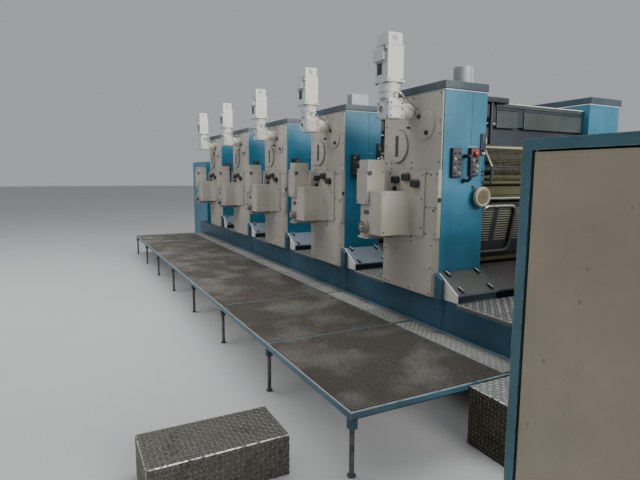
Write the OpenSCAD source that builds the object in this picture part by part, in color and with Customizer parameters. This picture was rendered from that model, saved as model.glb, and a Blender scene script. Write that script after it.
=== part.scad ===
// Sheet-fed offset printing press with five printing units in line.
// The line runs along X, the drive side with its gearmotors faces -Y, and Z is up from the floor.
// Most places are given as [low, high] pairs: back is measured from the near face of the first unit towards
// the feeder, out is measured from the drive side plane towards -Y, and height is measured from the floor.

/* [Line] */
// Number of printing units
units = 5; // [2:1:6]
// Distance from one unit to the next
unit_pitch = 1405; // [1300:5:1500]
// Length of one unit along the line
unit_len = 720; // [650:10:800]
// Clear width between the side housings
inner_w = 1200; // [1000:50:1400]
// Depth of a side housing across the line
housing_d = 410; // [350:10:450]
// Gap between the first unit and the delivery
near_bay = 720; // [680:10:900]
// Length of the delivery
delivery_len = 2180; // [1800:20:2600]
// Length of the feeder with its feed table
feeder_len = 2050; // [1900:50:2600]

/* [Heights] */
// Top of the walkway above the floor
walkway_z = 350; // [300:10:400]
// Tread in the bay between two units
tread_z = 580; // [560:5:585]
// Top of the plinth under the units
plinth_z = 585; // [575:5:620]
// Lower end of a unit's open near face, where the sloped cover begins
cover_z = 775; // [740:5:800]
// Underside of the cap of a unit
unit_z = 2118; // [1950:2:2250]
// Thickness of the cap
cap_t = 56; // [40:2:80]
// Top of the delivery's side frames
delivery_z = 1650; // [1500:10:1700]

/* [Walkway] */
// Width of the walkway
walkway_w = 1280; // [900:10:1400]
// Width of the solid plate along the plinth
strip_w = 230; // [150:10:300]
// Overhang of the walkway past the first unit
walkway_near = 870; // [800:10:1000]
// Length of the walkway past the last unit
walkway_far = 620; // [300:20:900]

/* [Cabinet] */
// Width of the control cabinet along the line
cabinet_w = 650; // [600:10:800]
// Depth of the control cabinet
cabinet_d = 500; // [400:10:600]
// Height of the control cabinet
cabinet_h = 1604; // [1500:4:1700]
// Distance of the cabinet past the first unit
cabinet_near = 1803; // [1750:1:1900]

/* [Hidden] */
line_len = (units - 1) * unit_pitch + unit_len;
near_end = near_bay + delivery_len;
near_x = (near_end + line_len + feeder_len) / 2 - near_end;
side_y = -inner_w / 2 - housing_d;
cap_z = unit_z + cap_t;
bay_len = unit_pitch - unit_len;
full_out = -2 * housing_d - inner_w;
inner_out = -housing_d;
far_inner_out = -housing_d - inner_w;
feeder_b = line_len;
pile_gap = 700;
feeder_table = 900;
skin = 12;
tread_t = 27;
running_gap = 0.05;
cut = 1;

blue = "steelblue";
dark_blue = "darkslategray";
beige = "tan";
cream = "antiquewhite";
slate = "slategray";
black = "dimgray";
steel = "silver";
olive = "darkolivegreen";

unit_parts = ["frame", "side_cover", "roller_housing", "gearmotor"];
shared_parts = [
    "register_gearboxes", "caps", "operator_housings", "operator_covers", "inner_housings", "cross_beams",
    "mesh_guards", "guard_bars", "lower_guards", "near_lower_guard",
    "plinths", "press_bed", "treads", "bay_covers", "bay_end_walls",
    "floor_covers", "control_strips", "button_panel", "grab_handle", "handwheel",
    "cap_boxes", "walkway_frame", "walkway_grating", "walkway_plates",
    "walkway_legs", "end_steps", "step_boxes", "cabinet_body", "cabinet_plate", "cabinet_door",
    "delivery_frames", "delivery_hood", "delivery_pile_board",
    "feeder_frames", "feed_table", "feeder_head", "feeder_pile_board"
];

// A box given by its ranges back, out and height.
module block(back, out, height) {
    translate([near_x - back[1], side_y - out[1], height[0]])
        cube([back[1] - back[0], out[1] - out[0], height[1] - height[0]]);
}

// The same box from one list of its three ranges.
module ranged(ranges) {
    block(ranges[0], ranges[1], ranges[2]);
}

// A plan of [back, out] points, raised over a height range.
module plan(points, height) {
    translate([near_x, side_y, height[0]])
        linear_extrude(height[1] - height[0])
            polygon([for (p = points) [-p[0], -p[1]]]);
}

// A profile of [back, height] points in the side plane, extruded over a range of out.
module profile(points, out) {
    translate([near_x, side_y - out[0], 0])
        rotate([90, 0, 0])
            linear_extrude(out[1] - out[0])
                polygon([for (p = points) [-p[0], p[1]]]);
}

// A round bar along the line, across it or upright, from its start point [back, out, height].
module bar_along(start, len, d) {
    translate([near_x - start[0], side_y - start[1], start[2]])
        rotate([0, -90, 0]) cylinder(h = len, d = d, $fn = 32);
}
module bar_across(start, len, d) {
    translate([near_x - start[0], side_y - start[1], start[2]])
        rotate([90, 0, 0]) cylinder(h = len, d = d, $fn = 32);
}
module bar_up(start, len, d) {
    translate([near_x - start[0], side_y - start[1], start[2]])
        cylinder(h = len, d = d, $fn = 32);
}

// Moves its children to the place of one unit.
module at_unit(u) {
    translate([-(u - 1) * unit_pitch, 0, 0]) children();
}
module each_unit() {
    for (u = [1:units]) at_unit(u) children();
}
// Repeats its children on the other side of the line.
module both_sides() {
    children();
    mirror([0, 1, 0]) children();
}

// Side housing

// Each housing holds one end of the lower guard's rod; the first one also holds the handwheel's spindle.
module housing(with_wheel) {
    difference() {
        block([0, unit_len], [inner_out, 0], [plinth_z, unit_z]);
        bar_across([rod_back, inner_out - cut, rod_z], rod_in + 2 * cut, rod_d + 2 * running_gap);
        if (with_wheel)
            bar_along([-cut, wheel_out, wheel_z], spindle_in + 2 * cut, spindle_d + 2 * running_gap);
    }
}
module unit_frame(u) {
    color(blue) at_unit(u) housing(u == 1);
}

module operator_housings() {
    color(blue) mirror([0, 1, 0]) each_unit() housing(false);
}

// Side covers: an upper plate with a round raised disc, a middle box, and a lower tray

disc_r = 128;
disc_back = 530;
disc_z = 1730;
disc_t = 16;
disc_slot = [44, 170];
slot_floor = 9;
middle_z = [1035, 1540];
middle_t = 45;
strip_back = [4, 150];
strip_step = 12;
cover_back = [8, unit_len + 8];
cover_top = unit_z - 14;

module upper_plate() {
    block(cover_back, [0, skin], [middle_z[1], cover_top]);
    difference() {
        bar_across([disc_back, skin, disc_z], disc_t, 2 * disc_r);
        block([disc_back - disc_slot[0] / 2, disc_back + disc_slot[0] / 2],
            [skin + slot_floor, skin + disc_t + cut],
            [disc_z - disc_slot[1] / 2, disc_z + disc_slot[1] / 2]);
    }
}

module middle_box() {
    block([strip_back[1], cover_back[1]], [0, middle_t], middle_z);
    block(strip_back, [0, middle_t - strip_step], middle_z);
}

lower_chamfer = 40;
lower_t = 34;
module lower_tray() {
    plan([[cover_back[0], 0], [cover_back[0] + lower_chamfer, lower_t], [unit_len - lower_chamfer, lower_t],
        [unit_len, 0]], [plinth_z, middle_z[0]]);
}

module side_cover_set() {
    upper_plate();
    middle_box();
    lower_tray();
}

module unit_side_cover(u) {
    color(beige) at_unit(u) side_cover_set();
}

module operator_covers() {
    color(beige) mirror([0, 1, 0]) each_unit() {
        block([cover_back[0], unit_len], [0, skin], [middle_z[1], cover_top]);
        block([cover_back[0], unit_len], [0, middle_t], middle_z);
        lower_tray();
    }
}

// Roller housing: a tall box with a rounded outer corner, which runs into the middle box in a hollow curve

roller_back = [370, 545];
roller_out = 277;
roller_z = [1025, 1372];
roller_r = 22;
roller_sweep = 70;
module unit_roller_housing(u) {
    side = roller_back[1] - roller_back[0];
    depth = roller_out - middle_t;
    color(beige) at_unit(u)
        translate([near_x - roller_back[1], side_y - roller_out, roller_z[0]])
            linear_extrude(roller_z[1] - roller_z[0]) {
                square([side - roller_r, depth]);
                translate([0, roller_r]) square([side, depth - roller_r]);
                translate([side - roller_r, roller_r]) circle(r = roller_r, $fn = 48);
                translate([side, depth - roller_sweep]) difference() {
                    square(roller_sweep);
                    translate([roller_sweep, 0]) circle(r = roller_sweep, $fn = 96);
                }
            }
}

// Register gearbox: a stepped box beside the roller housing, with a round plug

register_body = [[545, 703], [131, 298], [1265, 1549]];
register_head = [[557, 685], [133, 286], [1549, 1621]];
register_foot = [[545, 673], [middle_t, 275], [1000, 1265]];
register_sole = [[545, 685], [middle_t, 292], [985, 1000]];
plug_at = [595, 275, 1080];
plug_len = 38;
plug_d = 96;
module register_gearboxes() {
    color(beige) each_unit() {
        ranged(register_body);
        ranged(register_head);
        ranged(register_foot);
        ranged(register_sole);
        bar_across(plug_at, plug_len, plug_d);
    }
}

// Vertical gearmotor: a round boss on the panel, a gearbox, a neck in two steps, the motor and its encoder

motor_box = [[313, 478], [142, 284], [2205, 2461]];
motor_flange = [[306, 485], [135, 291], [2190, 2205]];
encoder_box = [[317, 464], [154, 282], [2461, 2545]];
terminal_box = [[350, 485], [284, 304], [2350, 2440]];
gearbox = [[305, 455], [130, 275], [1925, 2052]];
gearbox_lid = [[317, 443], [140, 267], [2052, 2076]];
boss_at = [380, skin, 1990];
boss_d = 120;
bore_at = [405, 259, 1995];
bore_d = 56;
neck_at = [395.5, 213];
neck_z = [2076, 2122, 2190];
neck_d = [144, 154];
module unit_gearmotor(u) {
    color(cream) at_unit(u) {
        bar_across(boss_at, gearbox[1][0] - skin, boss_d);
        difference() {
            ranged(gearbox);
            bar_across(bore_at, gearbox[1][1] - bore_at[1] + cut, bore_d);
        }
        ranged(gearbox_lid);
        for (n = [0, 1]) bar_up([neck_at[0], neck_at[1], neck_z[n]], neck_z[n + 1] - neck_z[n], neck_d[n]);
        ranged(motor_flange);
        ranged(motor_box);
        ranged(terminal_box);
        ranged(encoder_box);
    }
}

// Caps on the side housings, a little larger than the housing all round

cap_over = 12;
module caps() {
    color(slate) both_sides() each_unit()
        block([-cap_over, unit_len + cap_over], [inner_out, cap_over], [unit_z, cap_z]);
}

// Between the side housings: the closed roller and cylinder space, its beam, guards and bars

inner_back = [150, unit_len - 90];
inner_top = 2040;
beam_back = [70, unit_len - 40];
beam_z = [1881, 2056];
beam_block = [[20, 110], [inner_out - 250, inner_out - 20], [2056, 2096]];

module inner_housings() {
    color(dark_blue) each_unit() {
        block(inner_back, [far_inner_out, inner_out], [bed_z, inner_top]);
    }
}

module cross_beams() {
    color(dark_blue) each_unit() {
        block([beam_back[0], inner_back[0]], [far_inner_out, inner_out], beam_z);
        ranged(beam_block);
        block([inner_back[1], beam_back[1]], [far_inner_out, inner_out], beam_z);
    }
}

// The mesh guard leans out below its top rail, then hangs straight down.
mesh_profile = [[10, 1704], [22, 1704], [-60, 1568], [-60, 1440], [-72, 1440], [-72, 1568]];
module mesh_guards() {
    color(olive) each_unit() profile(mesh_profile, [far_inner_out, inner_out]);
}

// Four round bars, a rail below them, a rail over the mesh guard and one behind the lower guard's foot
bar_zs = [1360, 1402, 1444, 1486];
bar_back = 34;
bar_d = 34;
rails = [[[10, 60], [1310, 1345]], [[2, 50], [1704, 1730]], [[beam_back[0], inner_back[0]], [818, 842]]];
module guard_bars() {
    color(olive) each_unit() {
        for (z = bar_zs) bar_across([bar_back, far_inner_out, z], inner_w, bar_d);
        for (rail = rails) block(rail[0], [far_inner_out, inner_out], rail[1]);
    }
}

// The lower guard is a plate that hangs on a rod and leans in at its foot.
// Bent tubes on its near face serve to lift it.
rod_d = 16;
rod_in = 12;
rod_back = 47;
rod_z = 1280;
guard_foot = [125, 870];
guard_t = 14;
guard_gap = 20;
guard_w = inner_w - 2 * guard_gap;
guard_lean = atan2(guard_foot[0] - rod_back, rod_z - guard_foot[1]);
guard_len = norm([guard_foot[0] - rod_back, rod_z - guard_foot[1]]);
tube_d = 26;
tube_r = 60;
tube_w = 365;
tube_h = 380;
tube_side = 22;
tube_foot = 20;
tube_weld = 2;

module guard_plate() {
    translate([-guard_t / 2, 0, -guard_len]) cube([guard_t, guard_w, guard_len]);
}

// A bent tube with four round corners, standing on the plate's near face.
module guard_tube(side) {
    translate([(guard_t + tube_d) / 2 - tube_weld, side, tube_foot - guard_len]) {
        for (y = [0, tube_w]) translate([0, y, tube_r])
            cylinder(h = tube_h - 2 * tube_r, d = tube_d, $fn = 24);
        for (z = [0, tube_h]) translate([0, tube_r, z]) rotate([-90, 0, 0])
            cylinder(h = tube_w - 2 * tube_r, d = tube_d, $fn = 24);
        for (corner = [[0, 0, 180], [1, 0, 270], [1, 1, 0], [0, 1, 90]])
            translate([0, tube_r, tube_r] + [0, corner[0] * tube_w, corner[1] * tube_h]
                - 2 * tube_r * [0, corner[0], corner[1]])
                rotate([90, 0, 90]) rotate([0, 0, corner[2]])
                    rotate_extrude(angle = 90, $fn = 48)
                        translate([tube_r, 0]) circle(d = tube_d, $fn = 24);
    }
}

module lower_guard() {
    translate([near_x - rod_back, side_y - far_inner_out, rod_z]) {
        translate([0, rod_in, 0]) rotate([90, 0, 0]) cylinder(h = inner_w + 2 * rod_in, d = rod_d, $fn = 32);
        translate([0, -guard_gap, 0]) mirror([0, 1, 0]) rotate([0, guard_lean, 0]) {
            guard_plate();
            guard_tube(tube_side);
            guard_tube(guard_w - tube_side - tube_w);
        }
    }
}

module near_lower_guard() {
    color(black) lower_guard();
}
module lower_guards() {
    color(black) for (u = [2:units]) at_unit(u) lower_guard();
}

// Plinths and treads

plinth_back = [-near_bay - pile_gap, line_len + feeder_table];
bed_z = tread_z - tread_t;
module plinths() {
    color(dark_blue) both_sides() {
        block(plinth_back, [inner_out, 0], [0, bed_z]);
        each_unit() block([-cover_run, unit_len], [inner_out, 0], [bed_z, plinth_z]);
    }
}
module press_bed() {
    color(dark_blue) block(plinth_back, [far_inner_out, inner_out], [0, bed_z]);
}

module treads() {
    color(steel) {
        for (u = [2:units]) at_unit(u) tread(bay_len);
        tread(near_bay);
    }
}
module tread(len) {
    block([-len, -cover_run], [full_out, 0], [bed_z, tread_z]);
}

// Sloped cover at the foot of each near face, its end wall and the dark floor cover between the housings

cover_run = 200;
cover_foot_z = 645;
cover_t = 14;
cover_rise = 30;
cover_line = [[0, cover_z], [-cover_run, cover_foot_z]];
module bay_covers() {
    color(slate) both_sides() each_unit()
        profile([cover_line[0], cover_line[1], cover_line[1] - [0, cover_t], cover_line[0] - [0, cover_t]],
            [inner_out, -cover_t]);
}
module bay_end_walls() {
    color(cream) both_sides() each_unit()
        profile([[0, cover_z], [-cover_run, cover_foot_z], [-cover_run, plinth_z], [0, plinth_z]],
            [-cover_t, 0]);
}
module floor_covers() {
    color(black) each_unit() {
        profile([[inner_back[0], cover_z + cover_rise], cover_line[0], cover_line[1],
            cover_line[1] - [0, cover_t], cover_line[0] - [0, cover_t],
            [inner_back[0], cover_z + cover_rise - cover_t]], [far_inner_out, inner_out]);
    }
}

// Near face fittings

control_strip = [[-28, 0], [-152, -66], [1485, 1698]];
module control_strips() {
    color(black) each_unit() ranged(control_strip);
}

// Six buttons below a large round one
panel_box = [[-30, 0], [-324, -240], [1495, 1703]];
button_outs = [-300, -264];
button_zs = [1530, 1570, 1610];
button_size = [12, 24];
stop_button_at = [-284, 1660];
stop_button_size = [26, 46];
module panel_button(out, z, size) {
    bar_along([panel_box[0][0] - size[0], out, z], size[0], size[1]);
}
module button_panel() {
    color(black) {
        ranged(panel_box);
        for (z = button_zs, o = button_outs) panel_button(o, z, button_size);
        panel_button(stop_button_at[0], stop_button_at[1], stop_button_size);
    }
}

grab_out = -200;
grab_reach = 85;
grab_z = [1450, 1652];
grab_d = 22;
module grab_handle() {
    color(black) {
        for (z = grab_z) bar_along([-grab_reach, grab_out, z], grab_reach, grab_d);
        bar_up([-grab_reach, grab_out, grab_z[0] - grab_d / 2], grab_z[1] - grab_z[0] + grab_d, grab_d);
    }
}

wheel_r = 77;
wheel_out = -352;
wheel_z = 1338;
wheel_reach = [24, 64];
wheel_dish = [15, 8];
hub_r = 24;
hub_gap = 6;
spindle_d = 24;
spindle_in = 40;
module handwheel() {
    color(cream) {
        bar_along([-wheel_reach[0], wheel_out, wheel_z], wheel_reach[0] + spindle_in, spindle_d);
        bar_along([-wheel_reach[0], wheel_out, wheel_z], wheel_reach[0] - hub_gap, 2 * hub_r);
        difference() {
            bar_along([-wheel_reach[1], wheel_out, wheel_z], wheel_reach[1] - wheel_reach[0], 2 * wheel_r);
            bar_along([-wheel_reach[1] - cut, wheel_out, wheel_z], wheel_dish[1] + cut,
                2 * (wheel_r - wheel_dish[0]));
        }
    }
}

// Boxes on the caps of the first two units

cap_box = [[60, 150], [-292, -100], [cap_z, cap_z + 112]];
cap_drum_at = [72, -225, cap_z];
cap_drum_h = 118;
cap_drum_d = 142;
module cap_boxes() {
    color(steel) {
        at_unit(2) ranged(cap_box);
        bar_up(cap_drum_at, cap_drum_h, cap_drum_d);
    }
}

// Walkways on both sides, carried by the plinth and by legs on the floor

walkway_back = [-walkway_near, line_len + walkway_far];
walkway_len = walkway_back[1] - walkway_back[0];
panel_count = 7;
panel_len = walkway_len / panel_count;
frame_h = 40;
frame_t = 30;
grating_t = 28;
strip_t = 10;
plinth_gap = 2;

// The range of one panel between the frame's bars, which are full width only at the two ends
function panel_back(p) = [
    walkway_back[0] + p * panel_len + (p == 0 ? frame_t : frame_t / 2),
    walkway_back[0] + (p + 1) * panel_len - (p == panel_count - 1 ? frame_t : frame_t / 2)
];
module each_panel(out, height) {
    for (p = [0:panel_count - 1]) block(panel_back(p), out, height);
}
module walkway_frame() {
    color(blue) both_sides() difference() {
        block(walkway_back, [plinth_gap, walkway_w], [walkway_z - frame_h, walkway_z]);
        each_panel([plinth_gap + frame_t, walkway_w - frame_t],
            [walkway_z - frame_h - cut, walkway_z + cut]);
    }
}
module walkway_grating() {
    color(black) both_sides() each_panel([strip_w, walkway_w - frame_t], [walkway_z - grating_t, walkway_z]);
}
module walkway_plates() {
    color(steel) both_sides() each_panel([plinth_gap + frame_t, strip_w], [walkway_z - strip_t, walkway_z]);
}

leg_d = 26;
leg_inset = 22;
socket_w = 40;
socket_h = 55;
foot_d = 44;
foot_t = 10;
inner_leg_out = 32;
module walkway_leg(back, out) {
    bar_up([back, out, 0], walkway_z - frame_h, leg_d);
    bar_up([back, out, 0], foot_t, foot_d);
    block([back - socket_w / 2, back + socket_w / 2], [out - socket_w / 2, out + socket_w / 2],
        [walkway_z - frame_h - socket_h, walkway_z - frame_h]);
}
module walkway_legs() {
    color(black) both_sides() for (p = [0:panel_count]) {
        leg_back = walkway_back[0] + leg_inset + p * (walkway_len - 2 * leg_inset) / panel_count;
        walkway_leg(leg_back, walkway_w - leg_inset);
        walkway_leg(leg_back, inner_leg_out);
    }
}

step_back = [-walkway_near - 290, -walkway_near - 4];
step_out = [4, 515];
step_z = walkway_z - 12;
low_step_len = 250;
module end_steps() {
    color(steel) both_sides() {
        block(step_back, step_out, [0, step_z]);
        block([step_back[0] - low_step_len, step_back[0]], step_out, [0, step_z / 2]);
    }
}

// A loose step box before each walkway, covered in tread plate
step_box = [[-692, -345], [1525, 2215], [0, 212]];
module step_boxes() {
    color(steel) both_sides() ranged(step_box);
}

// Control cabinet beside the end of the walkway: a hollow body, a plate for its gear,
// and an inset door that turns on a pin at its foot and head

cabinet_back = [-cabinet_near - cabinet_w, -cabinet_near];
cabinet_out = [walkway_w - cabinet_d, walkway_w];
cabinet_rim = 32;
cabinet_wall = 24;
cabinet_base = 90;
base_inset = 20;
front_depth = 62;
door_t = 22;
door_in = 4;
door_gap = 5.5;
door_nose = 6;
pin_d = 8;
pin_len = 17;
opening_back = [cabinet_back[0] + cabinet_rim, cabinet_back[1] - cabinet_rim];
opening_z = [cabinet_base + cabinet_rim, cabinet_h - cabinet_rim];
door_back = [opening_back[0] + door_gap, opening_back[1] - door_gap];
door_z = [opening_z[0] + door_gap, opening_z[1] - door_gap];
door_out = [walkway_w - door_in - door_t, walkway_w - door_in];
pin_back = door_back[1] - door_nose;
pin_out = door_out[1] - door_nose;

module cabinet_body() {
    color(blue) difference() {
        union() {
            block(cabinet_back, cabinet_out, [cabinet_base, cabinet_h]);
            block([cabinet_back[0] + base_inset, cabinet_back[1] - base_inset],
                [cabinet_out[0] + base_inset, cabinet_out[1] - base_inset], [0, cabinet_base]);
        }
        block([cabinet_back[0] + cabinet_wall, cabinet_back[1] - cabinet_wall],
            [cabinet_out[0] + cabinet_wall, walkway_w - front_depth],
            [cabinet_base + cabinet_wall, cabinet_h - cabinet_wall]);
        block(opening_back, [cabinet_out[0] + cabinet_d / 2, walkway_w + cut], opening_z);
        for (z = [opening_z[0] - pin_len + door_gap - 2 * cut, opening_z[1] - cut])
            bar_up([pin_back, pin_out, z], pin_len - door_gap + 3 * cut, pin_d + 2 * running_gap);
    }
}

// The plate stands on two rails before the cabinet's back wall.
plate_margin = 60;
plate_back = [cabinet_back[0] + plate_margin, cabinet_back[1] - plate_margin];
plate_out = [cabinet_out[0] + 40, cabinet_out[0] + 44];
plate_rails = [300, 1400];
plate_rail_h = 30;
module cabinet_plate() {
    color(steel) {
        block(plate_back, plate_out, [cabinet_base + plate_margin, cabinet_h - plate_margin]);
        for (z = plate_rails)
            block(plate_back, [cabinet_out[0] + cabinet_wall, plate_out[0]], [z, z + plate_rail_h]);
    }
}

module cabinet_door() {
    color(beige) {
        block([door_back[0], pin_back], door_out, door_z);
        bar_up([pin_back, pin_out, door_z[0] - pin_len], door_z[1] - door_z[0] + 2 * pin_len, pin_d);
        bar_up([pin_back, pin_out, door_z[0]], door_z[1] - door_z[0], 2 * door_nose);
        block([pin_back, door_back[1]], [door_out[0], pin_out], door_z);
    }
}

// Delivery: side frames, hood and pile board

delivery_t = 220;
delivery_slope = 420;
delivery_corner = 120;
delivery_low_z = 1240;
delivery_foot = -near_bay - pile_gap;
module delivery_frames() {
    color(blue) both_sides()
        profile([[-near_bay, bed_z], [-near_bay, delivery_low_z], [-near_bay - delivery_slope, delivery_z],
            [-near_end + delivery_corner, delivery_z], [-near_end, delivery_z - delivery_corner],
            [-near_end, 0], [delivery_foot, 0], [delivery_foot, bed_z]], [-delivery_t, 0]);
}
hood_t = 60;
hood_drop = 20;
hood_inset = 40;
hood_top = delivery_z - hood_drop;
hood_end = -near_end + delivery_corner + 10;
module delivery_hood() {
    color(beige)
        profile([[-near_bay - hood_inset, delivery_low_z],
            [-near_bay - delivery_slope - hood_inset, hood_top],
            [hood_end, hood_top], [hood_end, hood_top - hood_t],
            [-near_bay - delivery_slope - hood_inset / 2, hood_top - hood_t],
            [-near_bay - hood_inset, delivery_low_z - hood_t]], [full_out + delivery_t, -delivery_t]);
}

// A pile board on two carriers that reach from one side frame to the other
pile_z = [200, 260];
pile_side = 140;
carrier_size = [40, 40];
carrier_inset = 120;
module pile_board(back, frame_in) {
    block(back, [full_out + frame_in + pile_side, -frame_in - pile_side], pile_z);
    for (b = [back[0] + carrier_inset, back[1] - carrier_inset - carrier_size[0]])
        block([b, b + carrier_size[0]], [full_out + frame_in, -frame_in],
            [pile_z[0] - carrier_size[1], pile_z[0]]);
}
delivery_pile_back = [-near_end + 60, -near_end + 1160];
module delivery_pile_board() {
    color("burlywood") pile_board(delivery_pile_back, delivery_t);
}

// Feeder: side frames, inclined feed table, suction head and pile board

feeder_frame_back = [feeder_b + feeder_table, feeder_b + feeder_len];
feeder_in = 310;
feeder_t = 160;
feeder_z = 1750;
module feeder_frames() {
    color(blue) both_sides()
        block(feeder_frame_back, [-feeder_in, feeder_t - feeder_in], [0, feeder_z]);
}
table_z = [960, 1330];
table_t = 50;
table_end = feeder_frame_back[0] + 250;
module feed_table() {
    color(steel)
        profile([[feeder_b, table_z[0]], [table_end, table_z[1]], [table_end, table_z[1] - table_t],
            [feeder_b, table_z[0] - table_t]], [full_out + feeder_in, -feeder_in]);
}
head_back = [feeder_frame_back[0] + 350, feeder_frame_back[0] + 700];
head_z = [1500, feeder_z - 40];
module feeder_head() {
    color(beige) block(head_back, [full_out + feeder_in, -feeder_in], head_z);
}
feeder_pile_back = [feeder_frame_back[0] + 330, feeder_frame_back[1] - 40];
module feeder_pile_board() {
    color("burlywood") pile_board(feeder_pile_back, feeder_in);
}

for (u = [1:units]) {
    unit_frame(u);
    unit_side_cover(u);
    unit_roller_housing(u);
    unit_gearmotor(u);
}
register_gearboxes();
caps();
operator_housings();
operator_covers();
inner_housings();
cross_beams();
mesh_guards();
guard_bars();
lower_guards();
near_lower_guard();
plinths();
press_bed();
treads();
bay_covers();
bay_end_walls();
floor_covers();
control_strips();
button_panel();
grab_handle();
handwheel();
cap_boxes();
walkway_frame();
walkway_grating();
walkway_plates();
walkway_legs();
end_steps();
step_boxes();
cabinet_body();
cabinet_plate();
cabinet_door();
delivery_frames();
delivery_hood();
delivery_pile_board();
feeder_frames();
feed_table();
feeder_head();
feeder_pile_board();
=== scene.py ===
# %% [markdown]
# # Dressing an offset printing press
# The press is five tall printing units in a row, with a grating walkway on each side.
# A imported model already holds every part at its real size, as plain solids.
# This script builds the looks on it: round edges, screws, meshes, pipes and worn paint.

# %% Load the fixed frame
import math

import bmesh
import bpy
from mathutils import Matrix, Vector


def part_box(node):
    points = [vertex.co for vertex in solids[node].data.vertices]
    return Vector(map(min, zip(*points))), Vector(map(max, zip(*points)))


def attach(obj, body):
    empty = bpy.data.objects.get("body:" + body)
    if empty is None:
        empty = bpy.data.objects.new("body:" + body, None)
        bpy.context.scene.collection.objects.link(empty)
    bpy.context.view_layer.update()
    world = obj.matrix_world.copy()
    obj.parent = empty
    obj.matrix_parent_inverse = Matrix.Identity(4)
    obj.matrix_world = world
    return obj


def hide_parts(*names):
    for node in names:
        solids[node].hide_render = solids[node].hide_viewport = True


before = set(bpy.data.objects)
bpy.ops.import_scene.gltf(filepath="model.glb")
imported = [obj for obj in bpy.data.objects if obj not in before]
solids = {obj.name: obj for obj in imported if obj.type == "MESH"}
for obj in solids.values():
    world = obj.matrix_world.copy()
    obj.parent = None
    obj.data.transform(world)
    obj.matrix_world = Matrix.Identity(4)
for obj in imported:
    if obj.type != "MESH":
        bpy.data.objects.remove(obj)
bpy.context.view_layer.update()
print("solids in the frame:", len(solids))

# %% [markdown]
# ## Where things are
# Every unit of the press is alike, so a place is best given from its own near face.
# `back` is measured from that face towards the feeder, `out` from the drive side plane towards
# the walkway, and `height` from the floor, all in millimetres as on a fitter's drawing.
# The two driving corners are read from the frame, so the pieces follow it if it is packed again.

# %% Places along the press
MM = 0.001
near_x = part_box("unit_1_frame")[1].x
side_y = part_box("unit_1_frame")[0].y
pitch = near_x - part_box("unit_2_frame")[1].x
units = [name for name in solids if name.endswith("_gearmotor")]
unit_numbers = range(1, len(units) + 1)
press_width = -2 * side_y / MM
housing_depth = (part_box("unit_1_frame")[1].y - side_y) / MM


def at(back, out, height, unit=1):
    """The point that lies back from a unit's near face, out from the side plane and up from the floor."""
    x = near_x - (unit - 1) * pitch - back * MM
    return Vector((x, side_y - out * MM, height * MM))


print("units:", len(units), "pitch:", round(pitch, 3), "width:", press_width, "housing:", housing_depth)

# %% [markdown]
# ## One way to write node trees
# A node tree is easier to read as an expression than as boxes and wires.
# `add_node` makes any node from its type, its settings and what goes into its sockets.
# `Value` wraps a socket, so that `1 - mask * 0.5` adds the Math nodes it needs.

# %% Node helpers
def add_node(tree, kind, settings=None, inputs=None):
    """Adds one node. Its settings come first, because they can change which sockets it has."""
    node = tree.nodes.new(kind)
    for name, value in (settings or {}).items():
        setattr(node, name, value)
    for key, value in (inputs or {}).items():
        if isinstance(value, Value):
            value = value.socket
        if isinstance(value, bpy.types.NodeSocket):
            tree.links.new(value, node.inputs[key])
        else:
            node.inputs[key].default_value = value
    return node


class Value:
    """A number that a node tree works out. Python's operators add its Math nodes."""

    def __init__(self, socket):
        self.socket = socket

    def math(self, operation, first, second=0.0, clamp=False):
        settings = {"operation": operation, "use_clamp": clamp}
        node = add_node(self.socket.id_data, "ShaderNodeMath", settings, {0: first, 1: second})
        return Value(node.outputs[0])

    def __add__(self, other):
        return self.math("ADD", self, other)

    def __radd__(self, other):
        return self.math("ADD", other, self)

    def __sub__(self, other):
        return self.math("SUBTRACT", self, other)

    def __rsub__(self, other):
        return self.math("SUBTRACT", other, self)

    def __mul__(self, other):
        return self.math("MULTIPLY", self, other)

    def __rmul__(self, other):
        return self.math("MULTIPLY", other, self)

    def __truediv__(self, other):
        return self.math("DIVIDE", self, other)

    def clamped(self):
        return self.math("ADD", self, 0.0, clamp=True)

    def step(self, low, high):
        """Rises smoothly from 0 at low to 1 at high."""
        inputs = {"Value": self, "From Min": low, "From Max": high}
        settings = {"interpolation_type": "SMOOTHSTEP"}
        return Value(add_node(self.socket.id_data, "ShaderNodeMapRange", settings, inputs).outputs[0])


# %% [markdown]
# ## A finish and its parts
# Old paint is never one colour: it has soft blotches, streaks that run down, grime and painted shade in
# the corners and bright metal along the edges that hands and boots rub.
# `Finish` starts a material and gives each of these as a mask between 0 and 1.
# All patterns use Object coordinates, so they stay on the piece when it moves.

# %% The Finish helper
NOISE_ROUGHNESS = 0.55
CORNER_SAMPLES = {"samples": 6}
EDGE_SAMPLES = {"samples": 4}
MIX_FACTOR, MIX_UNDER, MIX_OVER, MIX_COLOUR = 0, 6, 7, 2


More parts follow.
